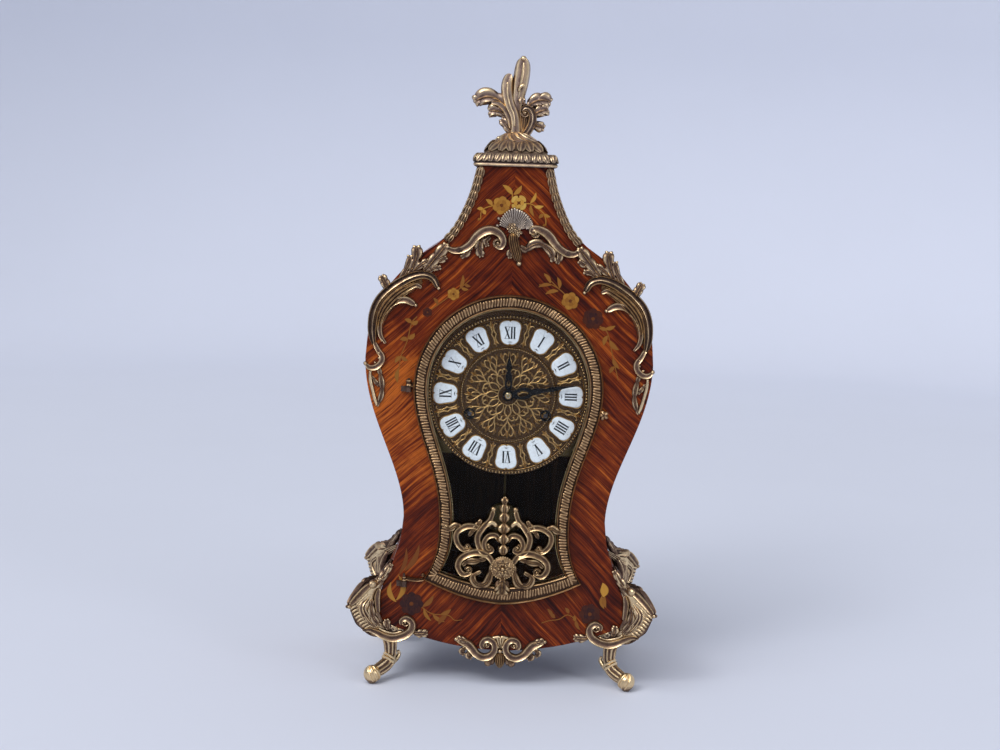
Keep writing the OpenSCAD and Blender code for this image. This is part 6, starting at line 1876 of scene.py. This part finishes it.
@dataclass
class Feet:
    """The four cast feet."""

    drawn_h: float = 61.0
    knee: float = 24.0
    flank: float = 20.0
    ball: Rows = ((0, 1.8), (0.5, 3.2), (1.6, 4.2), (2.8, 5.2), (4.4, 6.6), (6.8, 7.6), (9.4, 7.9),
                  (12.2, 7.4), (14.6, 5.9), (16.2, 3.8), (17, 1.2))
    # Painted shade: the ball darkens towards the floor and is lightest round and above its widest part.
    ball_shades: Row = (0.2, 0.4, 0.5, 0.5, 0.7, 0.9, 1, 1, 0.9, 0.7, 0.6)
    normal = np.array((1, -1, 0.3)) / math.sqrt(2.09)

    def lifted(self, z: float) -> float:
        """A drawn height brought to the case's real corner height."""
        return z + PLAN.corner_z - self.drawn_h if z > 50 else z * PLAN.corner_z / self.drawn_h

    def on_knee(self, u: Array, v: Array, h: Array) -> Array:
        """Places points on the face that bulges from the case's corner.

        Args:
            u: How far each is past the corner.
            v: Height of each above the floor.
            h: Height of each above the face.

        Returns:
            The points.
        """
        bulge = self.knee * (np.clip(u + self.flank, 0, None) / (self.knee + self.flank)) ** 1.6
        drop = np.interp(v, (self.lifted(44), self.lifted(58)), (0.35, 1.0))
        return np.stack([PLAN.base_w / 2 + u, PLAN.front - bulge * drop - h, v], -1)

    def on_flank(self, u: Array, v: Array, h: Array) -> Array:
        """Places points on the same face's mirror image across the corner's diagonal.

        Args:
            u: How far each is past the corner.
            v: Height of each above the floor.
            h: Height of each above the face.

        Returns:
            The points.
        """
        q = self.on_knee(u, v, h)
        hollow = np.where(u < 0, PLAN.base_w / 2 - case_x(np.maximum(v, PLAN.corner_z)), 0)
        return np.stack([PLAN.base_w / 2 + PLAN.front - q[..., 1] - hollow, PLAN.front - u, v], -1)

    def limb(self, shell: Shell, rows: Array, flutes: int, depth: float, sides: int) -> None:
        """Adds a limb in the corner's diagonal plane.

        Args:
            shell: Where it goes.
            rows: Distance past the corner, height, half width and half thickness.
            flutes: Number of grooves round it.
            depth: Depth of the grooves as a share of the width.
            sides: Points round it.
        """
        path = np.stack([PLAN.base_w / 2 + rows[:, 0], PLAN.front - rows[:, 0], rows[:, 1]], 1)
        shell.limb(path, self.normal, rows[:, 2], rows[:, 3], flutes, depth, sides)

    def leg(self, shell: Shell) -> None:
        """Adds one leg down the corner's diagonal, with its collar, spur and scrolled toe.

        Args:
            shell: Where it goes.
        """
        self.limb(shell, smooth([(r[0], self.lifted(r[1]), r[2], r[3]) for r in LEG], 6), 9, 0.2, 54)
        for u, z, r in ((-12.2, 21.4, 6.8), (-11.4, 18.4, 7.3)):
            collar = [(u + 0.8 * k, z - 1.2 * k, r - abs(k), r - abs(k)) for k in (-1, 0, 1)]
            self.limb(shell, np.array(collar), 0, 0, 32)
        spur = smooth([(u, z, r, r) for u, z, r in
                       ((-13, 15, 2.8), (-17.4, 17, 2.6), (-20.4, 21.2, 2), (-19.8, 25, 1.3))], 6)
        self.limb(shell, spur, 0, 0, 16)
        x, y = PLAN.base_w / 2 + 2.4, PLAN.front - 2.4
        shell.lathe(self.ball, (x, y, 0), Axis.Z, self.ball_shades, sides=48)
        b = np.linspace(-1.1, 1.2, 12)
        reach = 7.9 * np.cos(b) + 0.4
        for turn in range(3):
            a = math.radians(-150 + 35 * turn)
            curl = np.stack([x + reach * np.cos(a + 0.5 * b), y + reach * np.sin(a + 0.5 * b),
                             9.2 + 7.7 * np.sin(b)], 1)
            shell.limb(curl, np.array((math.cos(a), math.sin(a), 0.2)), np.linspace(0.5, 1.5, 12),
                       np.linspace(0.5, 1.3, 12), 0, 0, 12)

    def relief(self, shell: Relief) -> None:
        """Adds the scrolls, leaves and diagonal ribs of the knee.

        Args:
            shell: Where they go, set to one face of the knee.
        """
        strokes = [(style, [(r[0], self.lifted(r[1]), *r[2:]) for r in rows]) for style, rows in FOOT]
        shell.draw(strokes, sink=1.0)
        for u, z in spaced(smooth(((21.6, 75), (18.6, 68), (14.4, 60), (9.6, 54)), 4), 8):
            z = self.lifted(z)
            shell.lay(STEM, ((u, z, 1.2, 0.6), (u - 3, z + 2, 1.4, 1.6), (u - 6.5, z + 3.4, 0.9, 1.2)))
        for u, z, r in ((22.4, 77.6, 2), (2.5, 95.6, 4.4), (-3.4, 100, 2.4)):
            shell.pearl(u, self.lifted(z), r, 1.0, 1.0)
        shell.volute(-27, self.lifted(58.6), 4, start=60, lift=2)

    def build(self) -> None:
        """Makes all four feet."""
        shell = Relief(self.on_knee)
        self.leg(shell)
        for shell.place in (self.on_knee, self.on_flank):
            self.relief(shell)
        settle(shell.mirror((1, -1, 1)).mirror().piece("feet", BRONZE), "corner_feet")


@dataclass
class Finial:
    """The plumed finial and the moulded cap under it."""

    drawn_h: float = 80.0
    corner: float = 6.0
    spread: float = 2.6
    # Rows of share of height, growth and shade; the shade is painted shade, dark in the coves and light on
    # the rounds.
    profile: Rows = ((0, 1.0, 0.1), (0, 3.0, 0.5), (0.06, 3.8, 0.9), (0.12, 3.2, 0.3), (0.15, 2.6, 0.05),
                     (0.2, 3.0, 0.2), (0.32, 2.6, 0.15), (0.44, 1.2, 0.3), (0.5, -0.4, 0.6), (0.5, -4.6, 0.5),
                     (0.55, -5.8, 0.7), (0.6, -6.6, 0.8), (0.64, -7.6, 0.2), (0.72, -11, 0.4),
                     (0.84, -13.6, 0.5), (1, -15, 0.6))

    def plume(self) -> None:
        """The cast plumes, worked on both faces, over a swirl of leaves."""
        cap_z = PLAN.cap_z
        scale = (high("finial", Axis.Z) - cap_z) / self.drawn_h
        shell = Relief(on_front(0))
        for face in (-1, 1):
            shell.place = lambda u, v, h, face=face: np.stack(
                [u, face * h, np.maximum(cap_z + v * scale, cap_z + 0.2)], -1)
            shell.draw(FINIAL, sink=0.0)
            shell.volute(7.8, 27.4, 3.8, start=180, lift=4)
            for u, v, r in ((4.7, 76.6, 3), (-38.8, 37, 2.2), (-18, 25.4, 1.5), (-16, 3.4, 2.2)):
                shell.pearl(u, v, r, 1.1, 0.8)
        for a in 2 * np.pi * np.arange(11) / 11:
            path = np.array([(r * math.cos(a + s), 0.85 * r * math.sin(a + s), cap_z + h) for r, s, h in
                             ((5, 0, 9), (9.5, 0.12, 7), (14, 0.3, 4), (18, 0.5, 1.6), (20.6, 0.66, 0.6))])
            shell.limb(path, np.array((0, 0, 1.0)), np.array((1.8, 3.2, 4.2, 3.8, 2)),
                       np.array((1.4, 2, 2.2, 1.6, 0.8)), 3, 0.3, 18)
        shell.lathe(((0, 17), (1.2, 17), (2.6, 14), (5, 10.5), (8, 8)), (0, 0, cap_z), Axis.Z, 0.25, 40)
        settle(shell.piece("plumes", PALE_BRONZE), "finial")

    def cap(self) -> None:
        """The oblong cap with a gadrooned lip."""
        p = PLAN
        w, d, h = p.neck_w / 2, (p.back - p.front) / 2, p.cap_z - p.neck_z
        a = np.linspace(0, np.pi / 2, 9)
        quarter = self.corner * (np.stack([np.sin(a), np.cos(a)], 1) - 1)
        loops = []
        for share, grow, _ in self.profile:
            one = quarter + (w + grow, d + grow * (1 if grow > 0 else self.spread))
            loop = np.vstack([one, one[::-1] * (1, -1), one * (-1, -1), one[::-1] * (-1, 1)])
            loops.append(np.hstack([loop, np.full((len(loop), 1), p.neck_z + share * h)]))
        shell = Shell()
        shell.grid(np.stack(loops), np.array(self.profile)[:, 2:], around=True, capped=True)
        z = p.neck_z
        self.leaves(shell, (w + 3.2, d + 3.2, z + 0.17 * h), (w - 0.4, d - 0.8, z + 0.48 * h), 5.6)
        self.leaves(shell, (w - 6, d - 16, z + 0.6 * h), (w - 14.6, d - 36, z + h), 8.4)
        settle(shell.piece("cap", CAP_BRONZE), "cap_moulding")

    def leaves(self, shell: Shell, foot: Row, top: Row, step: float) -> None:
        """Adds a row of fluted leaves that climb from one oblong to a smaller one above it.

        Args:
            shell: Where the leaves go.
            foot: Half width, half depth and height of the lower oblong.
            top: Half width, half depth and height of the upper oblong.
            step: Width of a leaf.
        """
        turns = ((-1, -1, 1), (1, -1, 1), (1, 1, 1), (-1, 1, 1))
        below, above = np.array(turns) * foot, np.array(turns) * top
        for side in range(4):
            start, run = below[side], below[(side + 1) % 4] - below[side]
            upper, last = above[side], above[(side + 1) % 4]
            along = run / np.linalg.norm(run)
            out = np.array((along[1], -along[0], 0.6))
            count = int(np.linalg.norm(run) / step)
            for k in range(count):
                share, lean = (k + 0.5) / count, (0.4, 0.1, -0.2)[k % 3] * step
                a, b = start + run * share, upper + (last - upper) * share + lean * along
                path = np.array([a + (b - a) * t + out * bulge for t, bulge in
                                 ((0, 0.3), (0.2, 1), (0.5, 1.2), (0.8, 0.9), (1, 0.2))])
                shell.limb(path, out, step * np.array((0.22, 0.46, 0.56, 0.46, 0.2)),
                           np.array((0.4, 0.8, 1.0, 0.8, 0.3)), 5, 0.35, 20)

    def build(self) -> None:
        """Makes the finial and its cap."""
        self.plume()
        self.cap()


@dataclass
class Marquetry:
    """Floral inlay on the front: stems, leaves and flowers of several woods."""

    shell: Relief = field(default_factory=lambda: Relief(on_front(PLAN.front)))
    proud: float = 0.05
    layer: float = 0.002

    def slip(self, rows: Rows, tone: float, steps: int) -> None:
        """Lays one slip of wood, each a hair above the one before it.

        Args:
            rows: Points of its middle line as (x, z, half width).
            tone: Which wood.
            steps: Points made between two neighbours.
        """
        self.shell.tone = tone
        self.proud += self.layer
        self.shell.strip([(*row, self.proud) for row in rows], FLAT_CUT, steps=steps, sink=0.1)

    def leaf(self, x: float, z: float, end_x: float, end_z: float, width: float, tone: float,
             bend: float = 0.1) -> None:
        """Adds a pointed, bent leaf.

        Args:
            x: Root of the leaf.
            z: Root of the leaf.
            end_x: Its tip.
            end_z: Its tip.
            width: Half width.
            tone: Which wood.
            bend: Sideways bend as a share of its length.
        """
        rows = []
        for t, w in ((0, 0.12), (0.12, 0.5), (0.35, 0.95), (0.6, 0.9), (0.85, 0.45), (1, 0.04)):
            side = bend * math.sin(math.pi * t)
            rows.append((x + (end_x - x) * t + side * (end_z - z), z + (end_z - z) * t - side * (end_x - x),
                         width * w))
        self.slip(rows, tone, 4)

    def flower(self, x: float, z: float, r: float, tone: float, petals: int, turn: float) -> None:
        """Adds a flower of broad petals round a dark heart.

        Args:
            x: Middle.
            z: Middle.
            r: Radius.
            tone: Which wood.
            petals: Number of petals.
            turn: First petal's direction in degrees.
        """
        for near, far, grow, shade in ((0.3, 1.0, 0.0, tone), (0.16, 0.62, 0.5, tone - 0.08)):
            for k in range(petals):
                a = math.radians(turn + 360 * (k + grow) / petals)
                half = far * math.pi / petals * 0.86
                petal = ((near, 0.16), ((near + far) / 2, half), (far * 0.88, half), (far, half * 0.8))
                rows = [(x + r * d * math.sin(a), z + r * d * math.cos(a), r * w) for d, w in petal]
                self.slip(rows, shade + 0.06 * (k % 2), 3)
        self.shell.tone = 0.3
        self.shell.pearl(x, z, r * 0.18, 0.05, self.proud + 0.02)

    def build(self) -> None:
        """Makes the inlay."""
        for points in STEMS:
            self.slip([(x, z, 0.5 * (1 - 0.4 * k / len(points))) for k, (x, z) in enumerate(points)],
                      0.66 if points[0][1] > 400 else 0.46, 6)
        for leaf in LEAVES:
            self.leaf(*leaf)
        for flower in FLOWERS:
            self.flower(*flower)
        settle(self.shell.piece("marquetry", InlayWood(), 30), slot=Slot.VENEER)


class Works:
    """Finishes of the nodes, for those that keep their own meshes."""

    looks: dict[Finish, tuple[str, ...]] = {
        PlainWood(): ("back_board", "top_board", "base_board", "back_door"),
        STEEL: ("going_mainspring", "strike_mainspring", "going_click", "strike_click", "pallet_anchor",
                "crutch", "cannon_pinion", "strike_lever", "hammer", "bell_post"),
        Lacquer(): ("hour_hand", "minute_hand", "winding_eyelets"),
        # The front plate's dark brass is painted shade for the shadow behind the dial.
        DARK_BRASS_AND_SHADE: ("front_plate", "pendulum_bob", "pendulum_rod"),
        DARK_STEEL: ("going_winding_arbor", "strike_winding_arbor"),
        Pressed(ground=(0.075, 0.04, 0.019)): ("dial_plate",),
        ClearGlass(): ("door_glass",),
        BRIGHT: ("hand_nut",),
        BRONZE: ("door_hinge_lugs",),
    }

    def build(self) -> None:
        """Dresses every node, in plain brass where nothing else is said."""
        finishes = {node: finish for finish, nodes in self.looks.items() for node in nodes}
        for name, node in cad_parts.items():
            material = finishes.get(name, BRASS).material()
            node.data.materials.clear()
            node.data.materials.append(material)
            LOG.info("%s dressed in %s", name, material.name)


@dataclass
class Studio:
    """Backdrop, lights and camera."""

    eye: Row = (-0.008, -1.470, 0.4605)
    pitch: float = 6.94
    roll: float = 1.8
    lens: float = 56.2
    sensor: float = 36.0
    backdrop: Colour = (0.65, 0.68, 0.78)
    sky: Colour = (0.94, 0.96, 1)
    ambient: float = 0.5
    floor_r: float = 2500.0
    bend_r: float = 900.0
    wall_z: float = 1700.0
    daylight: tuple[Row, float, float] = ((-0.7, -1.0, 1.5), 1.5, 50.0)
    lamps: Sequence[tuple[str, Row, Row, Row, float, Colour]] = (
        ("key", (-1.3, -1.7, 1.9), (0, 0, 0.28), (0.7, 0.5), 14, (1, 1, 1)),
        ("fill", (1.6, -1.5, 0.9), (0, 0, 0.25), (0.5, 0.9), 7, (0.95, 0.97, 1)))

    def paper(self) -> None:
        """A round floor that curves up into a low wall on every side."""
        turns = np.linspace(0, 2 * np.pi, 97)
        line = [(1.0, 0.0)]
        line += [(self.floor_r + self.bend_r * math.sin(a), self.bend_r - self.bend_r * math.cos(a))
                 for a in np.linspace(0, np.pi / 2, 24)]
        line += [(self.floor_r + self.bend_r, self.wall_z)]
        points = np.array([[(r * math.cos(a), r * math.sin(a), z) for a in turns] for r, z in line])
        mesh = bpy.data.meshes.new("backdrop")
        n, m = points.shape[:2]
        faces = [(i * m + j, (i + 1) * m + j, (i + 1) * m + j + 1, i * m + j + 1)
                 for i in range(n - 1) for j in range(m - 1)]
        mesh.from_pydata((points.reshape(-1, 3) * MM).tolist(), [], faces)
        mesh.shade_smooth()
        mesh.materials.append(Paper(tint=self.backdrop).material())
        linked("backdrop", mesh)

    def world(self) -> None:
        """Soft light from all round; the camera sees the backdrop's colour."""
        world = bpy.data.worlds.new("sky")
        bpy.context.scene.world = world
        world.use_nodes = True
        world.node_tree.nodes.clear()
        graph = Graph(world.node_tree)
        seen = graph.node("ShaderNodeBackground", {0: full(self.backdrop), 1: 1.0}).outputs[0]
        light = graph.node("ShaderNodeBackground", {0: full(self.sky), 1: self.ambient}).outputs[0]
        ray = graph.node("ShaderNodeLightPath").outputs["Is Camera Ray"]
        mixed = graph.node("ShaderNodeMixShader", {0: ray, 1: light, 2: seen}).outputs[0]
        graph.node("ShaderNodeOutputWorld", {0: mixed})

    def lamp(self, name: str, place: Row, target: Row, size: Row, watts: float,
             colour: Colour) -> None:
        """Adds a rectangular lamp that looks at a point.

        Args:
            name: The lamp's name.
            place: Where it stands, in metres.
            target: What it looks at.
            size: Its width and height.
            watts: Its power.
            colour: Its colour.
        """
        data = bpy.data.lights.new(name, "AREA")
        data.shape = "RECTANGLE"
        data.size, data.size_y = size
        data.energy, data.color = watts, colour
        lamp = linked(name, data)
        lamp.location = place
        lamp.rotation_euler = (Vector(target) - Vector(place)).to_track_quat("-Z", "Y").to_euler()

    def sun(self, name: str, towards: Row, strength: float, width: float) -> None:
        """Adds a broad, even light from far away.

        Args:
            name: The light's name.
            towards: Direction in which the light stands.
            strength: Its strength.
            width: Its apparent width in degrees.
        """
        data = bpy.data.lights.new(name, "SUN")
        data.energy, data.angle = strength, math.radians(width)
        linked(name, data).rotation_euler = Vector(towards).to_track_quat("Z", "Y").to_euler()

    def camera(self) -> None:
        """The photograph's point of view."""
        data = bpy.data.cameras.new("view")
        data.lens, data.sensor_width = self.lens, self.sensor
        camera = linked("view", data)
        camera.matrix_world = (Matrix.Translation(self.eye)
                               @ Matrix.Rotation(math.radians(90 - self.pitch), 4, "X")
                               @ Matrix.Rotation(math.radians(self.roll), 4, "Z"))
        bpy.context.scene.camera = camera

    def build(self) -> None:
        """Makes the studio."""
        bpy.context.scene.view_settings.view_transform = "Standard"
        self.paper()
        self.world()
        self.sun("daylight", *self.daylight)
        for lamp in self.lamps:
            self.lamp(*lamp)
        self.camera()


def main() -> None:
    """Builds the clock in order, then the studio."""
    logging.basicConfig(level=logging.INFO, format="%(name)s: %(message)s")
    for part in (Works(), Case(), Marquetry(), Dial(), Door(), Mounts(), Feet(), Finial()):
        LOG.info("building %s", type(part).__name__)
        part.build()
    Studio().build()


if __name__ == "__main__":
    main()
